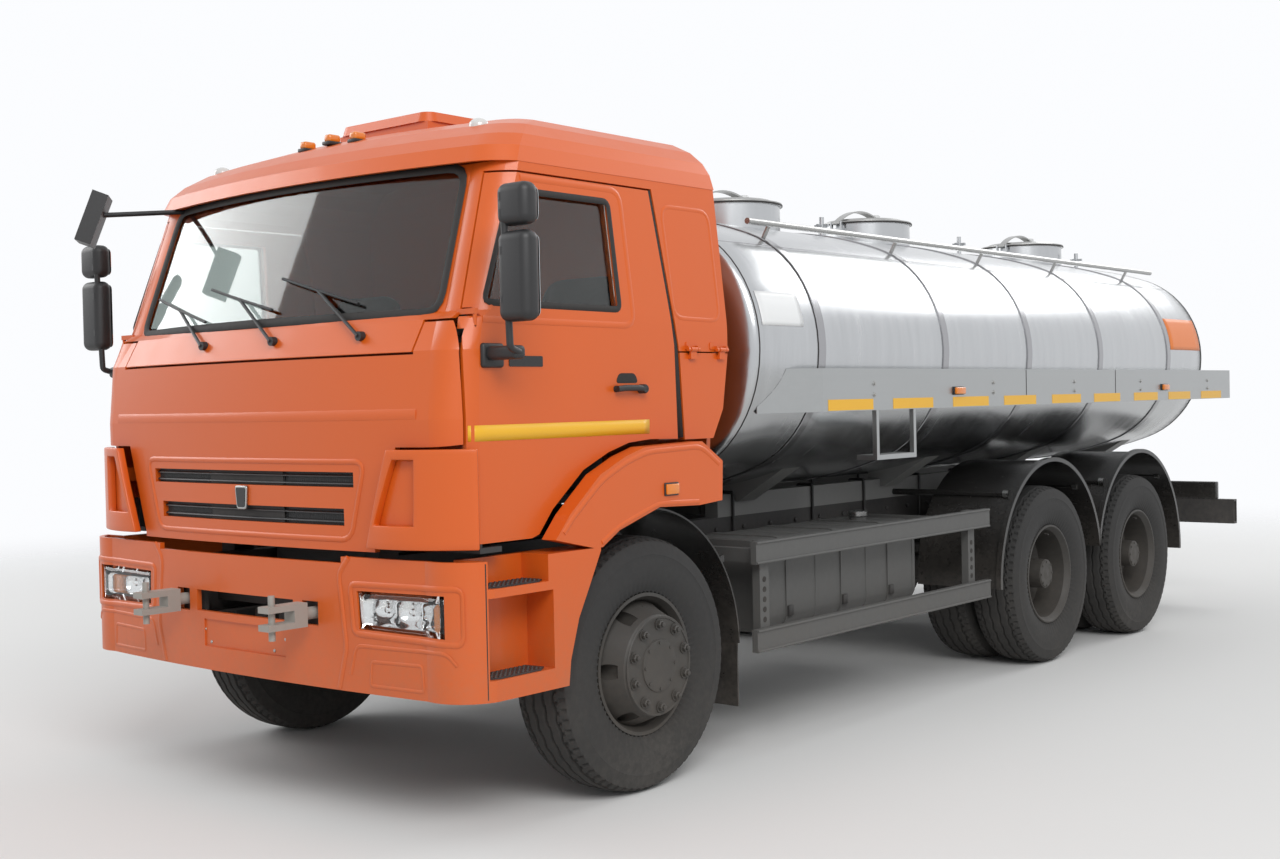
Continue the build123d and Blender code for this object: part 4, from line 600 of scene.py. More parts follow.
# Finish of every CAD node; pieces made further down replace some of them in view
nodeFinish = {
    cabPaint: ("cab_front", "cab_sides", "cab_rear_wall", "cab_roof", "roof_hatch", "front_panel",
               "deflectors", "bumper", "wings", "door_left", "door_right", "flap_left", "flap_right"),
    chassisPaint: ("knuckle_left", "knuckle_right", "axles", "frame", "springs", "battery_box", "rear_bar",
                   "cab_floor"),
    beamPaint: ("tank_beams",),
    guardPaint: ("side_guards", "fuel_tank"),
    rimPaint: ("rim_front_left", "rim_front_right", "rims_mid_left", "rims_mid_right", "rims_rear_left",
               "rims_rear_right"),
    tankSteel: ("tank", "tank_necks"),
    fittingSteel: ("lid_front", "lid_middle", "lid_rear", "handrails"),
    skirtSteel: ("skirts",),
    blackPlastic: ("grille", "door_fittings_left", "door_fittings_right", "front_mirror", "wipers"),
    glossBlack: ("mudguards",),
    castGrey: ("tow_forks",),
    engineIron: ("powertrain",),
    dashPlastic: ("dashboard", "steering_wheel"),
    seatCloth: ("seats",),
    windowGlass: ("windscreen", "door_glass_left", "door_glass_right"),
    clearWhite: ("headlamps",),
    amberLens: ("marker_lamps",),
    tyreRubber: ("tyre_front_left", "tyre_front_right", "tyres_mid_left", "tyres_mid_right",
                 "tyres_rear_left", "tyres_rear_right"),
}
for material, names in nodeFinish.items():
    for name in names:
        nodes[name].data.materials.clear()
        nodes[name].data.materials.append(material)
print("finishes set on the carried-over nodes")

# The record's slot for each finish, which piece() looks up but does not store
slotOf = {
    cabPaint: "cab_orange", tankSteel: "tank_steel", bandSteel: "tank_steel", guardPaint: "beam_grey",
    chassisPaint: "chassis_black", rimPaint: "rim_grey", tyreRubber: "tyre", seatCloth: "seat_cloth",
    seamDark: "black_plastic", blackPlastic: "black_plastic", glossBlack: "black_plastic",
    dashPlastic: "black_plastic", bowlChrome: "lamp_clear", lampGlass: "lamp_clear", clearWhite: "lamp_clear",
    amberLens: "amber", redLens: "amber",
}

# Tyres: half section from bead to crown, then the tread's grooves cut down into it
tyre = {"radius": 0.520, "tread": 0.1275, "groove": 0.013, "steps": 288, "pitches": 72}


# Tyre surface: the section (along the axle, radius) is carried round; between the shoulders the radius drops
# by the groove depth where the distance from a rib's edge, or a slot's saw-tooth line, is small
def tyreShape(centreX, centreY, side):
    edge = tyre["tread"]
    flank = np.array([(0.104, 0.291), (0.113, 0.296), (0.121, 0.312), (0.1335, 0.345), (0.1395, 0.385),
                      (0.1395, 0.420), (0.1380, 0.440), (0.1395, 0.446), (0.1375, 0.452), (0.1345, 0.470),
                      (0.1305, 0.486)])
    tread = np.linspace(edge, -edge, 61)
    crownLine = tyre["radius"] - 0.021 * np.abs(tread / edge) ** 4.2
    section = np.vstack([flank, np.stack([tread, crownLine], 1), flank[::-1] * [-1, 1]])
    angle = np.arange(tyre["steps"]) / tyre["steps"] * 2 * math.pi
    along = np.repeat(section[:, :1], len(angle), 1)
    radius = np.repeat(section[:, 1:], len(angle), 1)
    wave = 0.0035 * np.sin(angle * 36)
    depth = np.zeros_like(radius)
    for rib, width in ((-0.078, 0.0055), (-0.028, 0.0055), (0.028, 0.0055), (0.078, 0.0055)):
        gap = np.abs(along - rib - wave * np.sign(rib))
        depth = np.maximum(depth, np.clip((width - gap) / 0.002, 0, 1))
    lug = (angle[None] / (2 * math.pi) * tyre["pitches"] + np.abs(along) * 9) % 1
    slot = np.clip((0.13 - np.abs(lug - 0.5)) / 0.05, 0, 1) * (np.abs(along) > 0.084) * 0.8
    depth = np.maximum(depth, slot) * (np.abs(along) < 0.1285)
    radius = radius - tyre["groove"] * depth * np.clip((0.1330 - np.abs(along)) / 0.01, 0, 1)
    grid = np.stack([centreX + side * along, centreY + radius * np.cos(angle),
                     wheelZ + radius * np.sin(angle)], -1)
    return sheetOf(grid, wrapCols=True)


tyreX = {"front": 1.050, "outer": 1.090, "inner": 0.770}  # middle planes of the tyres
for sideName, side in leftRight:
    piece(f"treadTyreFront.{sideName}", tyreShape(side * tyreX["front"], 0, side), tyreRubber,
          f"wheel_front_{sideName}", sharp=30, stands=(f"tyre_front_{sideName}",))
    for place, y in rearAxles.items():
        piece(f"treadTyres.{place}.{sideName}",
              [tyreShape(side * tyreX[k], y, side) for k in ("outer", "inner")], tyreRubber,
              f"wheels_{place}_{sideName}", sharp=30, stands=(f"tyres_{place}_{sideName}",))
print("tyres made")

# Tank: a section of tangent arcs, with a knuckle and a shallow dish at each end
tank = {"halfWidth": 1.190, "halfHeight": 0.712, "centreZ": 1.822, "crown": 2.300, "flank": 0.900,
        "shoulder": 0.600, "front": 0.810, "rear": 6.270, "dish": 0.095}
bandYs = (1.315, 2.509, 3.503, 4.509, 5.645)


# One quarter of the section by its normal's angle: flank, shoulder and crown arcs that meet in line,
# each point being its arc's centre plus radius times the normal; the other quarters are its mirror images
def tankSection(grow):
    low, near = tank["crown"] - tank["halfHeight"], tank["halfWidth"] - tank["flank"]
    toCrown, toFlank = tank["crown"] - tank["shoulder"], tank["flank"] - tank["shoulder"]
    span = math.hypot(near, low)
    alongLine = (toCrown ** 2 - toFlank ** 2 + span ** 2) / (2 * span)
    offLine = math.sqrt(toCrown ** 2 - alongLine ** 2)
    ux, uz = near / span, low / span
    px, pz = ux * alongLine + uz * offLine, -low + uz * alongLine - ux * offLine
    turnA, turnB = math.atan2(pz, px - near), math.atan2(pz + low, px)
    runs = [(np.linspace(0, turnA, 9)[:-1], near, 0, tank["flank"]),
            (np.linspace(turnA, turnB, 13)[:-1], px, pz, tank["shoulder"]),
            (np.linspace(turnB, math.pi / 2, 17), 0, -low, tank["crown"])]
    quarter = np.vstack([np.stack([cx + (r + grow) * np.cos(a), cz + (r + grow) * np.sin(a)], 1)
                         for a, cx, cz, r in runs])
    return np.vstack([quarter, quarter[-2::-1] * [-1, 1], quarter[1:] * [-1, -1], quarter[-2:0:-1] * [1, -1]])


# Tank shell: the section carried along, then drawn in over each end so that the depth follows
# (1 - share cubed) to a power while the section shrinks to its share of the full size
def tankShell():
    body, dish = tankSection(0), tank["dish"]
    share = np.cos(np.radians(np.linspace(0, 90, 14)))[1:-1]
    share = np.concatenate([[0.996, 0.985], share[share < 0.98], [0.03]])
    depth = dish * (1 - share ** 3) ** 0.46
    ys = np.concatenate([tank["front"] - depth[::-1], np.linspace(tank["front"], tank["rear"], 24),
                         tank["rear"] + depth])
    scale = np.concatenate([share[::-1], np.ones(24), share])
    grid = np.stack([body[None, :, 0] * scale[:, None], np.repeat(ys[:, None], len(body), 1),
                     tank["centreZ"] + body[None, :, 1] * scale[:, None]], -1)
    return sheetOf(grid, wrapCols=True, caps=True)


# Hoop: a closed low profile (along, proud) carried round the tank's section
def tankHoop(y, profile):
    rows = [np.insert(tankSection(proud) + [0, tank["centreZ"]], 1, y + along, axis=1)
            for along, proud in profile]
    return sheetOf(np.array(rows), wrapRows=True, wrapCols=True)


piece("tankShell", tankShell(), tankSteel, sharp=50, stands=("tank",))
bandLine = ((-0.030, -0.004), (-0.030, 0.0045), (-0.026, 0.007), (0.026, 0.007), (0.030, 0.0045),
            (0.030, -0.004))
seamProfile = ((-0.003, -0.002), (-0.003, 0.0016), (0.003, 0.0016), (0.003, -0.002))
seamYs = (0.812, 1.285, 1.345, 6.268)
piece("tankBands", [tankHoop(y, bandLine) for y in bandYs], bandSteel, sharp=30)
piece("tankSeams", [tankHoop(y, seamProfile) for y in seamYs], seamDark, slot="tank_steel")
print("tank made")


# Points on a straight line, close enough together to follow a bent face
def spread(start, end):
    return finer([start, end], 0.04, closed=False)


frontLean, sideLean = (0, -0.94, 0.34), (1, 0, 0.06)
doorSides = (("left", lambda shape: shape), ("right", otherSide))

# Windscreen and door windows: the rubber that holds the glass, and the pressed edge round the door's window
screenLine = softCorners([(-0.972, 1.933), (0.972, 1.933), (0.938, 2.491), (-0.938, 2.491)], 0.075)
windowLine = [(-0.850, 1.962), (-0.111, 1.958), (-0.145, 2.388), (-0.690, 2.388)]
pressedLine = [(-0.880, 1.900), (-0.028, 1.896), (-0.072, 2.438), (-0.640, 2.438)]
piece("screenSeal", bead(screenLine, onFront, 0.038, 0.32, frontLean, out=0.001), seamDark)
windowSeal = bead(softCorners(windowLine, 0.030), onSide, 0.026, 0.35, sideLean)
pressedEdge = bead(softCorners(pressedLine, 0.060, closed=False), onSide, 0.026, 0.20, sideLean, closed=False)
for sideName, turnOver in doorSides:
    piece(f"windowSeal.{sideName}", turnOver(windowSeal), seamDark, f"door_{sideName}")
    piece(f"windowPressing.{sideName}", turnOver(pressedEdge), cabPaint, f"door_{sideName}")

# Dark strip of painted shade that fills the gap behind each door, between the door's edge and the quarter's
doorEdge = [(0.117, 2.452), (0.200, 2.008), (0.232, 1.821), (0.235, 1.792), (0.248, 1.434)]
quarterEdge = [(0.130, 2.462), (0.214, 2.009), (0.253, 1.822), (0.256, 1.796), (0.286, 1.434)]
piece("doorGapRubber", bothSides(patch(doorEdge, quarterEdge, 3, onSide, -0.006)), seamDark, solid=0.006)

# Pressed panel and hinge plates on the quarter behind each door
quarterPanel = softCorners([(0.236, 1.935), (0.548, 1.930), (0.512, 2.400), (0.190, 2.400)], 0.060)
piece("quarterPressing", bothSides(bead(quarterPanel, onSide, 0.018, 0.22, sideLean)), cabPaint)
hinges = [plate(softCorners(rectangle(y - 0.030, 1.806, y + 0.030, 1.836), 0.008), onSide, 0.0, 0.004)
          for y in (0.335, 0.500)]
piece("quarterHinges", bothSides(*hinges), cabPaint)

# Crease across the front panel, the raised lip round the grille and a plain shield between its slots
creaseLine = [(-0.98, 1.560), (0.98, 1.560)]
grilleLip = softCorners([(-0.715, 1.386), (0.715, 1.386), (0.632, 1.092), (-0.632, 1.092)], 0.050)
piece("panelCrease", bead(creaseLine, onFront, 0.040, 0.14, (0, -1, 0.1), closed=False), cabPaint,
      "front_panel")
piece("grilleLip", bead(grilleLip, onFront, 0.022, 0.45, forwards), cabPaint, "front_panel")
grilleSlots = ((0.656, 1.318, 0.057), (0.600, 1.176, 0.065))  # columns: half width, middle height, height


# Louvre: a flat blade along a slot, set back from the cab's face
def louvre(half, z):
    xs = np.linspace(-half, half, 25)
    return tube(np.stack([xs, cabFront(xs, np.full(25, z), -0.016), np.full(25, z)], 1), 0.0065, sides=8,
                flat=0.35, up=(0, -0.6, 0.8))


# Mesh: upright wires spaced evenly along each slot, behind the louvres
def slotWires(half, z, height):
    xs = np.arange(-half + 0.010, half - 0.005, 0.0125)
    wire = tube([(0, 0, -height / 2), (0, 0, height / 2)], 0.0014, sides=4, up=rearwards)
    return copies(wire, np.stack([xs, cabFront(xs, np.full(len(xs), z), -0.021), np.full(len(xs), z)], 1))


blades = [louvre(half - 0.002, z + step) for half, z, height in grilleSlots
          for step in (-height / 4, height / 4)]
piece("grilleBlades", blades + [slotWires(*slot) for slot in grilleSlots], blackPlastic, "front_panel")
middleLine = [softCorners(rectangle(-0.240, z - height / 2 + 0.002, 0.240, z + height / 2 - 0.002), 0.004)
              for half, z, height in grilleSlots]
piece("grilleMiddle", [plate(line, onFront, -0.019, -0.015) for line in middleLine], seamDark, "front_panel")
shield = softCorners([(-0.040, 1.286), (0.040, 1.286), (0.030, 1.192), (-0.030, 1.192)], 0.012)
shieldFace = softCorners([(-0.031, 1.278), (0.031, 1.278), (0.023, 1.200), (-0.023, 1.200)], 0.010)
piece("shieldRim", plate(shield, onFront, 0.0, 0.012), fittingSteel, "front_panel", bevel=0.003)
piece("shieldFace", plate(shieldFace, onFront, 0.010, 0.0135), glossBlack, "front_panel", slot="")

# Door plates, stripes, a dark plate of painted shade where the recess behind the lever lies, and the lever's
# line
stripeLow, stripeHigh = spread((-0.952, 1.457), (0.058, 1.457)), spread((-0.952, 1.515), (0.058, 1.515))
plateLine = softCorners(rectangle(-0.750, 1.728, -0.570, 1.768), 0.006)
recessShade = softCorners([(-0.150, 1.664), (-0.010, 1.664), (-0.030, 1.704), (-0.130, 1.704)], 0.020)
lever = [(-0.165, 1.6405), (-0.120, 1.644), (-0.040, 1.644), (0.004, 1.640)]
for sideName, turnOver in doorSides:
    body = f"door_{sideName}"
    piece(f"doorStripe.{sideName}", turnOver(patch(stripeLow, stripeHigh, 3, onSide, 0.0007)), yellowFilm,
          body, solid=0.0008)
    piece(f"blankPlate.{sideName}", turnOver(plate(plateLine, onSide, 0.0, 0.003)), glossBlack, body,
          bevel=0.001)
    # Painted shade: a flat dark plate on the orange door stands for the shade in the recess behind the lever
    piece(f"handleRecessShade.{sideName}", turnOver(plate(recessShade, onSide, 0.0, 0.0012)), seamDark, body,
          "cab_orange")

# Heads' centre across and along, their lower and upper edges, and the stem's place
mirror = {"x": 1.376, "y": -0.900, "heads": ((1.880, 2.200), (2.218, 2.368)), "stemX": 1.330, "stemY": -0.925}


# Mirrors: heads with rounded backs, the bent tube, its bracket and clamps, with the door's lever and lock
def mirrorSet():
    x, y, stemX, stemY = (mirror[k] for k in ("x", "y", "stemX", "stemY"))
    heads = [block((x, y, (low + high) / 2), (0.150, 0.084, high - low), rounding=0.034, steps=6)
             for low, high in mirror["heads"]]
    stem = softCorners([(1.320, -0.850, 1.775), (stemX, -0.905, 1.790), (stemX, stemY, 2.330)], 0.016,
                       closed=False)
    arm = tube(stem, 0.013, sides=14)
    base = block((1.163, -0.840, 1.768), (0.044, 0.110, 0.090), rounding=0.012, steps=3)
    reach = block((1.247, -0.850, 1.775), (0.164, 0.060, 0.050), rounding=0.016, steps=4)
    clamps = [turned((stemX, stemY, z), ((-0.014, 0.018), (0.014, 0.018)), upwards, 16)
              for z in (1.960, 2.130, 2.262, 2.320)]
    handle = tube(onSide(finer(softCorners(lever, 0.010, closed=False), 0.01, False), 0.026), 0.0125,
                  sides=12, flat=0.7, up=outwards)
    skin = cabSide(0, 1.64) - 0.002
    lockLine = ((0, 0.019), (0.030, 0.019), (0.036, 0.015), (0.036, 0.006), (0.032, 0.005))
    lock = turned((skin, 0.002, 1.640), lockLine, outwards, 24)
    foot = turned((skin, -0.150, 1.641), ((0, 0.014), (0.030, 0.011)), outwards, 16)
    return joined(heads + [arm, base, reach, handle, lock, foot] + clamps)


# Mirror glass: a rounded rectangle inside each head's edge, as a thin prism on its rear face
def mirrorFaces():
    left, right, edge = mirror["x"] - 0.061, mirror["x"] + 0.061, 0.014
    return joined([plate(softCorners(rectangle(left, low + edge, right, high - edge), 0.026),
                         onCross(-0.8575), -0.0012, 0.0006) for low, high in mirror["heads"]])


for sideName, turnOver in doorSides:
    body = f"door_{sideName}"
    piece(f"doorMirrors.{sideName}", turnOver(mirrorSet()), blackPlastic, body,
          stands=(f"door_fittings_{sideName}",))
    piece(f"mirrorFaces.{sideName}", turnOver(mirrorFaces()), mirrorFace, body)
print("cab skin details made")

# Bumper: pressed lines round the lamps and the blanked corner lamps, end seams, screws of the bare plate
lampFrame = [(0.662, 0.745), (1.185, 0.735), (1.185, 0.935), (0.645, 0.930)]
blockLine = [(0.640, 1.028), (0.585, 0.965), (0.620, 0.690), (0.575, 0.532)]
blankLine = [(0.640, 0.590), (0.672, 0.700), (1.130, 0.705), (1.165, 0.660)]
cornerLine = [(0.745, 0.556), (0.752, 0.646), (1.005, 0.650), (1.012, 0.556)]


# Pressed lines: beads on the bumper's face, two round closed outlines and two along open lines
def bumperLines():
    framed = [bead(softCorners(line, setBack), onBumper, width, flat, forwards)
              for line, setBack, width, flat in ((lampFrame, 0.030, 0.024, 0.42),
                                                 (cornerLine, 0.014, 0.014, 0.35))]
    openLines = [bead(softCorners(line, 0.030, closed=False), onBumper, width, 0.40, forwards, closed=False)
                 for line, width in ((blockLine, 0.024), (blankLine, 0.016))]
    return joined(framed + openLines)


piece("bumperPressing", bothSides(bumperLines()), cabPaint)
seamLine = spread((1.2385, 0.535), (1.2385, 1.022))
endSeam = bead(seamLine, onBumper, 0.006, 0.5, (0.8, -0.6, 0), closed=False, out=-0.001)
piece("bumperSeams", bothSides(endSeam), seamDark)
screw = turned(origin, ((0, 0.007), (0.003, 0.006), (0.004, 0.003)), forwards, 12)
screwPlaces = [(x, -1.1015, z) for x, z in ((-0.272, 0.690), (-0.230, 0.640), (0.190, 0.640), (0.262, 0.690))]
piece("bumperScrews", copies(screw, screwPlaces), fittingSteel)

# Headlamps: a bright tray, two round reflectors with bulb caps, an amber turn lamp and a clear lens
lamp = {"inner": 0.6905, "outer": 1.1245, "low": 0.7635, "high": 0.9055, "back": -0.9800, "middle": 0.833}
lampLine = np.array([(lamp["inner"], lamp["low"]), (lamp["outer"], 0.7555), (lamp["outer"], 0.9095),
                     (lamp["inner"] - 0.008, lamp["high"])])


# Tray: the opening's outline as a floor at the back and as walls that end behind the lens
def lampTray():
    outline = finer(softCorners(lampLine, 0.006), 0.03)
    middle = outline.mean(axis=0)
    back = onCross(lamp["back"])
    centre, floor, rim = [(outline - middle) * share + middle for share in (0.02, 0.94, 0.992)]
    return sheetOf(np.array([back(centre, 0), back(floor, 0), onBumper(rim, -0.014)]), wrapCols=True)


# Reflector: a bowl that widens by steps to its radius at the rim and a bulb cap, both turned round the
# lamp's axis
def reflector(x, radius):
    bowl = ((0.006, 0.010), (0.010, 0.4 * radius), (0.022, 0.72 * radius), (0.046, 0.97 * radius),
            (0.050, radius), (0.047, 1.05 * radius), (0.0, 1.05 * radius))
    cap = ((0.008, 0.016), (0.040, 0.016), (0.046, 0.011), (0.047, 0.004))
    return joined([turned((x, lamp["back"], lamp["middle"]), line, forwards, 40) for line in (bowl, cap)])


# Lens: points in equal shares along the lower and upper edges, blended and laid on the bumper's arcs
def lampLens():
    xs = np.linspace(0, 1, 15)[:, None]
    low = lampLine[0] + (lampLine[1] - lampLine[0]) * xs
    high = lampLine[3] + (lampLine[2] - lampLine[3]) * xs
    return patch(low, high, 4, onBumper, -0.009)


piece("lampTrays", bothSides(lampTray()), bowlChrome, solid=0.0015)
piece("lampBowls", bothSides(reflector(0.775, 0.058), reflector(0.912, 0.064)), bowlChrome)
turnLamp = block((1.058, -1.008, lamp["middle"]), (0.070, 0.030, 0.105), 0.012, 3)
piece("turnLamps", bothSides(turnLamp), amberLens)
piece("lampLenses", bothSides(lampLens()), lampGlass, solid=0.003, stands=("headlamps",))

# Treads of the cab steps: a six-sided plate with raised studs
treadLine = [(1.128, -0.935), (1.212, -0.945), (1.240, -0.900), (1.240, -0.690), (1.212, -0.645),
             (1.128, -0.655)]
studs = np.stack(np.meshgrid(np.arange(1.142, 1.236, 0.021), np.arange(-0.915, -0.66, 0.0235)),
                 -1).reshape(-1, 2)


# Tread: the outline as a thin prism, with a turned stud at each point of the grid
def stepTread(z):
    stud = turned(origin, ((0, 0.0068), (0.0035, 0.0052), (0.0035, 0.003)), upwards, 8)
    places = np.column_stack([studs[:, 0], studs[:, 1], np.full(len(studs), z + 0.006)])
    return joined([plate(treadLine, onLevel(z), 0.0, 0.006), copies(stud, places)])


piece("stepTreads", bothSides(stepTread(0.6025), stepTread(0.9305)), blackPlastic)
print("bumper and lamps made")

# Wheel fittings: nuts with washers and studs on a ring, a hub cap, a valve and a rolled ring round the disc
wheelSets = (  # body, centre across, centre along, nut face from the centre, hub face from the centre
    ("wheel_front", tyreX["front"], 0, 0.188, 0.188),
    ("wheels_mid", tyreX["outer"], rearAxles["mid"], -0.118, 0.092),
    ("wheels_rear", tyreX["outer"], rearAxles["rear"], -0.118, 0.092),
)
nutRing = 0.1675


# Places on a ring: the centre plus radius times cosine and sine of equal turns from the start
def ringPlaces(centre, radius, count, start=0.0):
    turn = start + np.arange(count) / count * 2 * math.pi
    return np.stack([np.full(count, centre[0]), centre[1] + radius * np.cos(turn),
                     centre[2] + radius * np.sin(turn)], axis=1)


# Wheel nuts: a round washer, a six-sided nut and a stud, turned, and copied round the ring
def wheelNuts(x, y, side):
    out = (side, 0, 0)
    nut = joined([turned(origin, ((0.001, 0.0235), (0.005, 0.0235)), out, 20),
                  turned(origin, ((0.004, 0.0170), (0.018, 0.0170), (0.021, 0.0130)), out, 6),
                  turned(origin, ((0.020, 0.0095), (0.029, 0.0095), (0.030, 0.0080)), out, 12)])
    return copies(nut, ringPlaces((x, y, wheelZ), nutRing, 10, 0.31))


# Hub cap: a profile in shares of its width turned round the axle, and a ring of eight bolts
def hubCap(x, y, side, wide):
    out = (side, 0, 0)
    capLine = ((-0.002, wide), (0.005, wide - 0.003), (0.007, 0.8 * wide), (0.004, 0.62 * wide),
               (0.005, 0.30 * wide), (0.003, 0.010))
    cap = turned((x, y, wheelZ), capLine, out, 40)
    bolt = turned(origin, ((0, 0.0065), (0.006, 0.0065)), out, 6)
    return joined([cap, copies(bolt, ringPlaces((x + side * 0.004, y, wheelZ), 0.86 * wide, 8))])


for wheels, across, y, nutFace, hubFace in wheelSets:
    front = nutFace > 0
    rolled = ((0.0, 0.203), (0.003, 0.200), (0.003, 0.192), (0.0, 0.190)) if front else (
        (0.0, 0.2760), (0.003, 0.2790), (0.003, 0.2860), (0.0, 0.2880))
    for sideName, side in leftRight:
        x, body = side * across, f"{wheels}_{sideName}"
        name = body.split("_", 1)[1]
        valve = tube([(x + side * 0.088, y, wheelZ + 0.236), (x + side * 0.112, y, wheelZ + 0.232)], 0.005,
                     sides=8)
        cap = hubCap(x + side * hubFace, y, side, 0.108 if front else 0.080)
        piece(f"wheelNuts.{name}", [wheelNuts(x + side * nutFace, y, side), cap, valve], rimPaint, body)
        edge = x + side * (0.1885 if front else 0.1165)
        piece(f"rimEdge.{name}", turned((edge, y, wheelZ), rolled, (side, 0, 0), 72, closed=True), rimPaint,
              body)
print("wheel fittings made")

# Lamps: amber ones on the roof, the skirts and the wings, pale domes on the roof's corners, and the tail
roofLampTops = ((-0.165, 2.735), (0.0, 2.745), (0.165, 2.735))
skirtLampYs, skirtLampZ, roofLampY = (2.525, 5.401), 1.610, -0.600
wingLampPlace = {"y": 0.085, "z": 1.230}
tail = {"x": 0.900, "housingY": 6.797, "lensY": 6.826, "height": 0.8303}
amber = [block((x, roofLampY, top - 0.017), (0.042, 0.062, 0.034), 0.011, 4) for x, top in roofLampTops]
sideAmber = [block((1.264, y, skirtLampZ), (0.018, 0.098, 0.036), 0.006, 3) for y in skirtLampYs]
wingLamp = block((1.259, wingLampPlace["y"], wingLampPlace["z"]), (0.013, 0.078, 0.042), 0.004, 3)
bases = [block((x, roofLampY, top - 0.038), (0.050, 0.074, 0.016)) for x, top in roofLampTops]
sideBases = [block((1.254, y, skirtLampZ), (0.008, 0.110, 0.044), 0.003) for y in skirtLampYs]
wingBase = block((1.253, wingLampPlace["y"], wingLampPlace["z"]), (0.006, 0.090, 0.054), 0.003)
domeLine = [(0, 0.040), (0.018, 0.040)] + [(0.018 + 0.030 * math.sin(a), 0.040 * math.cos(a))
                                           for a in np.radians((15, 30, 45, 60, 75, 86))]
dome = turned((0.845, -0.560, 2.660), domeLine, upwards, 32)
tailParts = ((0.150, amberLens), (0.050, redLens), (-0.050, redLens), (-0.150, clearWhite))
piece("amberLamps", amber + [bothSides(*sideAmber, wingLamp)], amberLens, stands=("marker_lamps",))
piece("lampBases", bases + [bothSides(*sideBases, wingBase)], blackPlastic)
piece("roofDomes", bothSides(dome), clearWhite)
housing = block((tail["x"], tail["housingY"], tail["height"]), (0.420, 0.054, 0.130), 0.010, 3)
piece("tailHousings", bothSides(housing), glossBlack)
for index, (shift, lens) in enumerate(tailParts):
    shape = block((tail["x"] + shift, tail["lensY"], tail["height"]), (0.092, 0.014, 0.108), 0.006, 3)
    piece(f"tailLens.{index + 1}", bothSides(shape), lens)
print("lamps made")


# The tank's skin at a place (along, up) of its upper flank, read off the section's first quarter
def onTank(points, out):
    p = np.asarray(points, float)
    quarter = tankSection(out)[:38]
    rise = p[:, 1] - tank["centreZ"]
    return np.stack([np.interp(rise, quarter[:, 1], quarter[:, 0]), p[:, 0], p[:, 1]], axis=1)


# Film: two upright edges with equal heights, blended and laid on the tank's skin
def tankFilm(y0, z0, y1, z1):
    front, rear = ([(y, z) for z in np.linspace(z0, z1, 9)] for y in (y0, y1))
    return patch(front, rear, 9, onTank, 0.0022)


piece("blankPlateWhite", bothSides(tankFilm(0.845, 1.920, 1.175, 2.075)), whiteEnamel, solid=0.002)
piece("blankPlateOrange", bothSides(tankFilm(5.690, 1.868, 6.240, 2.085)), orangeFilm, solid=0.002)
lengthSeam = np.column_stack([np.linspace(0.83, 6.25, 60), np.full(60, 2.318)])
piece("lengthSeam", bothSides(tube(onTank(lengthSeam, 0.0), 0.004, sides=6, flat=0.5, up=(0.6, 0, 0.8))),
      bandSteel)

# Manholes: a gasket under each lid's rim and a pale sleeve on its knob
manholes = (("front", 2.210), ("middle", 3.650), ("rear", 5.880))
lid = {"rimZ": 2.6645, "knobZ": 2.7050, "knobAlong": 0.150}
gasketLine = ((0.0, 0.3003), (0.0, 0.3035), (0.009, 0.3035), (0.009, 0.3003))
sleeveLine = ((0, 0.0245), (0.003, 0.0275), (0.041, 0.0275), (0.0475, 0.022), (0.0500, 0.010))
for place, y in manholes:
    gasket = turned((0, y, lid["rimZ"]), gasketLine, upwards, 64, closed=True)
    sleeve = turned((0, y + lid["knobAlong"], lid["knobZ"]), sleeveLine, upwards, 28)
    piece(f"lidGasket.{place}", gasket, seamDark, f"lid_{place}")
    piece(f"lidKnob.{place}", sleeve, whiteEnamel, f"lid_{place}")

# Skirts: yellow strips along the lower edge, sheet joints and pairs of bolts
stripStarts = (1.267, 1.856, 2.469, 3.054, 3.667, 4.262, 4.887, 5.480, 6.091)
jointYs, boltYs = (3.330, 4.590), (1.680, 2.930, 3.980, 5.000, 6.220)
strip = {"length": 0.400, "low": 1.526, "high": 1.578}
skirt = {"low": 1.524, "high": 1.723, "boltZs": (1.598, 1.652)}
piece("skirtStrips", bothSides(*[plate(rectangle(y, strip["low"], y + strip["length"], strip["high"]),
                                       onUpright(bodySide), 0.0, 0.0014) for y in stripStarts]), yellowFilm)
piece("skirtJoints", bothSides(*[plate(rectangle(y, skirt["low"], y + 0.005, skirt["high"]),
                                       onUpright(bodySide), -0.001, 0.0012) for y in jointYs]), seamDark,
      slot="tank_steel")
bolt = turned(origin, ((0, 0.0125), (0.002, 0.0125), (0.003, 0.008), (0.008, 0.007)), outwards, 12)
piece("skirtBolts", bothSides(copies(bolt, [(bodySide, y, z) for y in boltYs for z in skirt["boltZs"]])),
      fittingSteel, slot="tank_steel")

# Side guards: rolled edges on both rails, and dark discs of painted shade where the posts' round holes are
guardRails = ((0.470, 0.570), (0.860, 0.960))
guardEdges = [tube([(1.2285, 0.703, z), (1.2285, 2.897, z)], 0.006, sides=8)
              for low, high in guardRails for z in (low + 0.006, high - 0.006)]
holeShade = turned(origin, ((0, 0.013), (0.0012, 0.013)), outwards, 16)
piece("guardEdges", bothSides(*guardEdges), guardPaint)
# Painted shade: flat dark discs on the posts stand for the shade seen through their holes
piece("guardHoleShade", bothSides(copies(holeShade, [(1.198, y, z) for y in (0.800, 2.740)
                                            for z in np.arange(0.605, 0.83, 0.045)])), seamDark, slot="")

# Fuel tank: pressed ribs, a twelve-sided cap, and tension bolts on the straps
fuel = {"inner": 0.600, "outer": 1.100, "low": 0.520, "high": 0.940, "corner": 0.084}


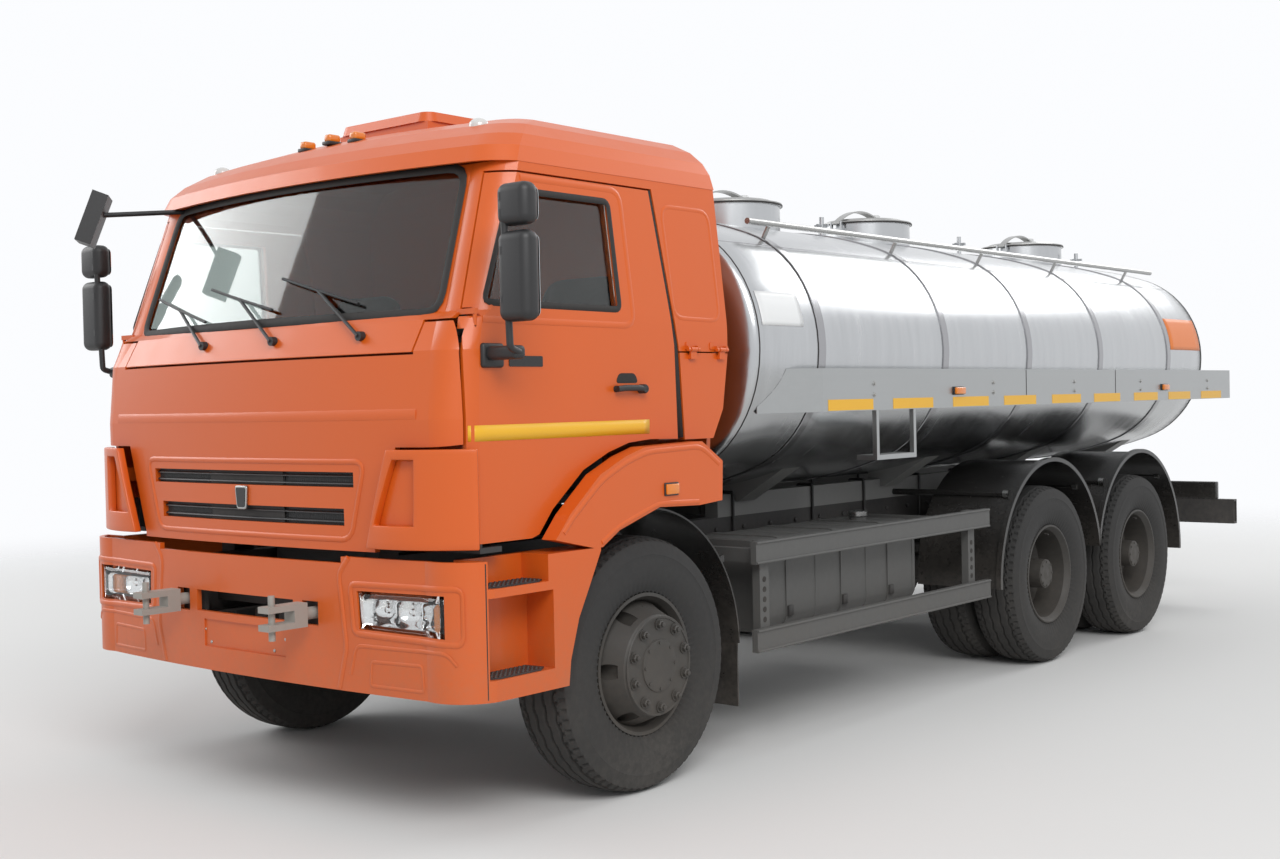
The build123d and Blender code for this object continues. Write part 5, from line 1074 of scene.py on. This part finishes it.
# Rib: the tank's outline scaled about its middle by (1 + grow / half width), at four places along it
def fuelRib(y, proud, width):
    half, mid = (fuel["outer"] - fuel["inner"]) / 2, (fuel["outer"] + fuel["inner"]) / 2
    outline = softCorners(rectangle(mid - half, fuel["low"], mid + half, fuel["high"]), fuel["corner"], 7)
    centre = np.array([mid, (fuel["low"] + fuel["high"]) / 2])
    rows = [np.insert(centre + (outline - centre) * (1 + grow / half), 1, y + along, axis=1)
            for along, grow in ((-width, -0.004), (-width / 2, proud), (width / 2, proud), (width, -0.004))]
    return sheetOf(np.array(rows), wrapRows=True, wrapCols=True)


piece("fuelRibs", [fuelRib(y, 0.004, 0.010) for y in (0.935, 1.360, 1.815, 2.275)], guardPaint)
capLine = ((0, 0.047), (0.006, 0.052), (0.028, 0.052), (0.032, 0.047), (0.034, 0.020), (0.0345, 0.004))
piece("fuelCap", [turned((0.850, 2.150, 0.956), capLine, upwards, 12)], fittingSteel)
strapBolts = [block((1.108, y, z), (0.020, 0.040, 0.050)) for y in (1.130, 1.600, 2.040)
              for z in (0.600, 0.870)]
piece("strapBolts", strapBolts, blackPlastic)

# Frame: bolts along the rails, clamps round rail and beam, and bands on the air tanks
railBolts = copies(turned(origin, ((0, 0.013), (0.009, 0.013), (0.011, 0.010)), outwards, 6),
                   [(0.432, y, z) for y in np.arange(-0.70, 6.5, 0.24) for z in (0.795, 0.925)])
clampYs = (1.600, 2.340, 2.880, 3.520, 4.080, 5.440, 6.340)


# Clamp: a tube bent round rail and beam, over a plate that joins its ends
def frameClamp(y):
    path = softCorners([(0.4415, y, 0.745), (0.4415, y, 1.1085), (0.3425, y, 1.1085), (0.3425, y, 0.745)],
                       0.012, 4, closed=False)
    return joined([tube(path, 0.008, sides=8), block((0.392, y, 0.728), (0.130, 0.044, 0.012), 0.003)])


piece("railBolts", bothSides(railBolts), chassisPaint)
piece("frameClamps", bothSides(*[frameClamp(y) for y in clampYs]), blackPlastic, slot="chassis_black")
airBand = turned(origin, ((-0.016, 0.1175), (-0.016, 0.1205), (0.016, 0.1205), (0.016, 0.1175)), rearwards,
                 40, closed=True)
bandPlaces = [(-0.800, y, z) for y in (1.840, 2.400) for z in (0.610, 0.870)]
piece("airTankBands", copies(airBand, bandPlaces), fittingSteel)
stayClamps = [turned((1.168, axle + y, 1.0163), ((-0.016, 0.024), (0.016, 0.024)), outwards, 20)
              for axle in rearAxles.values() for y in (-0.460, 0.460)]
piece("stayClamps", bothSides(*stayClamps), fittingSteel)

# Wings: the rolled lip along the upper flare and along the arch
wingFlare = softCorners([(-0.560, 1.100), (-0.500, 1.160), (-0.335, 1.288), (-0.190, 1.350), (-0.060, 1.386),
                         (0.292, 1.396), (0.415, 1.318)], 0.05, closed=False)
wingArch = softCorners([(0.270, 1.166), (0.006, 1.175), (-0.246, 1.101), (-0.345, 1.046)], 0.05, closed=False)
piece("wingLips", bothSides(*[bead(line, onUpright(bodySide), 0.022, 0.35, outwards, closed=False)
                              for line in (wingFlare, wingArch)]), cabPaint)

# Deflectors: the corner shells with their pocket left open and a back plate inside it; each row runs from the
# inner edge over the pocket's two edges to the outer one
deflector = {"low": 1.070, "pocketLow": 1.156, "pocketHigh": 1.396, "high": 1.432, "wall": 0.034,
             "outer": 1.200}
bow = circleThrough(0.700, -1.098, 1.070, -1.062, 1.200, -0.974)
shellSteps = (3, 8, 12)  # steps across: up to the pocket, over it, and on to the outer edge
shellLevels = (4, 9, 3)  # heights in the run below the pocket, beside it and above it


# The deflector's face, upright: the bow's arc across, with its radius grown by out
def onDeflector(points, out):
    x, z = points.T
    return np.stack([x, bow[1] - np.sqrt((bow[2] + out) ** 2 - (x - bow[0]) ** 2), z], axis=1)


# Rows: at each height the four edges across, with equal steps between them, laid on the face
def deflectorRows(zs, ends, out):
    edges = [np.interp(zs, (deflector["low"], deflector["high"]), (0.765, 0.885)),
             np.interp(zs, (deflector["pocketLow"], deflector["pocketHigh"]), (0.812, 0.912)),
             np.interp(zs, (deflector["pocketLow"], deflector["pocketHigh"]), (0.997, 1.002)),
             np.full(len(zs), deflector["outer"])]
    runs = zip(edges, edges[1:], shellSteps)
    parts = [a[:, None] + (b - a)[:, None] * np.arange(n) / n for a, b, n in runs]
    x = np.hstack(parts + [edges[3][:, None]])[:, ends]
    return onDeflector(np.stack([x, np.repeat(zs[:, None], x.shape[1], 1)], -1).reshape(-1, 2), out), x.shape


# Shell: the rows from bottom to top, without the faces that lie inside the pocket
def deflectorShell():
    levels = [deflector[k] for k in ("low", "pocketLow", "pocketHigh", "high")]
    runs = [np.linspace(low, high, count) for low, high, count in zip(levels, levels[1:], shellLevels)]
    zs = np.concatenate([runs[0][:-1], runs[1][:-1], runs[2]])
    points, (rows, cols) = deflectorRows(zs, slice(None), -deflector["wall"] / 2)
    row, col = np.meshgrid(np.arange(rows - 1), np.arange(cols - 1), indexing="ij")
    firstCol, firstRow = shellSteps[0], shellLevels[0] - 1
    inCols = (col >= firstCol) & (col < firstCol + shellSteps[1])
    inPocket = inCols & (row >= firstRow) & (row < firstRow + shellLevels[1] - 1)
    first = (row * cols + col)[~inPocket]
    quads = np.stack([first, first + 1, first + cols + 1, first + cols], axis=1)
    return points, quads, np.empty((0, 3), int)


# Back plate: the rows' middle part, set behind the shell's wall
def pocketBack():
    points, (rows, cols) = deflectorRows(np.linspace(1.100, 1.420, 10), slice(1, 13),
                                         -deflector["wall"] - 0.002)
    return sheetOf(points.reshape(rows, cols, 3))


piece("deflectorShells", bothSides(deflectorShell()), cabPaint, solid=deflector["wall"],
      bevel=0.004, stands=("deflectors",))
piece("pocketBacks", bothSides(pocketBack()), cabPaint, solid=0.003)
piece("deflectorStays", bothSides(block((1.045, -0.955, 1.310), (0.050, 0.150, 0.060))), cabPaint)

# Tail: a plate left bare and two round reflectors
rearPlate = softCorners(rectangle(-0.260, 0.622, 0.260, 0.734), 0.008)
discLine = ((0, 0.040), (0.004, 0.040), (0.006, 0.034))
piece("rearPlate", plate(rearPlate, onCross(6.842), -0.003, -0.0005), whiteEnamel)
piece("rearReflectors", [turned((side * 1.130, 6.838, 0.675), discLine, rearwards, 28) for side in (1, -1)],
      redLens)
print("chassis details made")


# Crowned pad: a rounded box whose faces swell towards their middles and whose edges pull in between the
# corners; a sewn channel lowers the face where the distance from its line is small
def pad(centre, size, crown, channels, lean=0.0):
    rows, cols = 40, 56
    lat = np.linspace(-math.pi / 2, math.pi / 2, rows)[1:-1]
    lon = np.arange(cols) / cols * 2 * math.pi
    power = lambda value, p: np.sign(value) * np.abs(value) ** p
    u = power(np.cos(lat), 0.32)[:, None] * power(np.cos(lon), 0.42)[None]
    v = power(np.cos(lat), 0.32)[:, None] * power(np.sin(lon), 0.42)[None]
    w = np.repeat(power(np.sin(lat), 0.55)[:, None], cols, 1)
    x, y = u * size[0] / 2 * (1 - 0.03 * (1 - v ** 2)), v * size[1] / 2 * (1 - 0.03 * (1 - u ** 2))
    swell = crown * (1 - u ** 2) * (1 - v ** 2)
    sewn = sum(np.exp(-((x - line) / 0.006) ** 2) for line in channels) + sum(
        np.exp(-((x / size[0] * 2 - side * 0.72) / 0.035) ** 2) for side in (-1, 1))
    z = w * (size[2] / 2 + swell - 0.007 * sewn * (w > 0.5))
    grid = np.stack([x, y, z], -1)
    turn = np.array([[1, 0, 0], [0, math.cos(lean), -math.sin(lean)], [0, math.sin(lean), math.cos(lean)]])
    return sheetOf(grid @ turn.T + np.asarray(centre, float), wrapCols=True, caps=True)


# Seats: padded cushion and back on a base and its upper frame, one set for each side
seat = {"across": 0.720, "along": -0.130, "height": 1.530, "channels": (-0.090, 0.0, 0.090)}
for sideName, side in leftRight:
    x = side * seat["across"]
    base = [block((x, -0.120, 1.352), (0.360, 0.380, 0.240), 0.015),
            block((x, -0.130, 1.482), (0.440, 0.440, 0.026), 0.008)]
    piece(f"seatBase.{sideName}", base, dashPlastic, stands=("seats",))
    cushion = pad((x, seat["along"], seat["height"] + 0.006), (0.500, 0.500, 0.100), 0.022, seat["channels"])
    back = pad((x, 0.130, 1.840), (0.480, 0.600, 0.100), 0.020, seat["channels"],
               lean=math.radians(90 - 11.3))
    cushion = piece(f"seatCushion.{sideName}", cushion, seatCloth, stands=("seats",))
    back = piece(f"seatBack.{sideName}", back, seatCloth, stands=("seats",))
print("seats made")

# Dashboard: instrument hood with three dials, air vents and the pedals
hood = block((0.640, -0.700, 1.862), (0.420, 0.170, 0.060), 0.022, 4)
dials = [turned((0.640 + dx, -0.622, 1.868), ((0, 0.052), (0.004, 0.052), (0.005, 0.047)), (0, 0.8, 0.6), 32)
         for dx in (-0.110, 0.0, 0.110)]
vents = [block((x, -0.578, 1.745), (0.150, 0.020, 0.050), 0.006) for x in (-0.900, -0.300, 0.250, 0.960)]
pedals = [block((x, -0.735, 1.330), (0.070, 0.020, 0.110), 0.006,
                turn=((1, 0, 0), (0, 0.82, 0.57), (0, -0.57, 0.82))) for x in (0.520, 0.650, 0.790)]
piece("dashHood", [hood] + vents, dashPlastic)
piece("dashDials", dials, glossBlack)
piece("pedals", pedals, blackPlastic)
print("cab interior made")
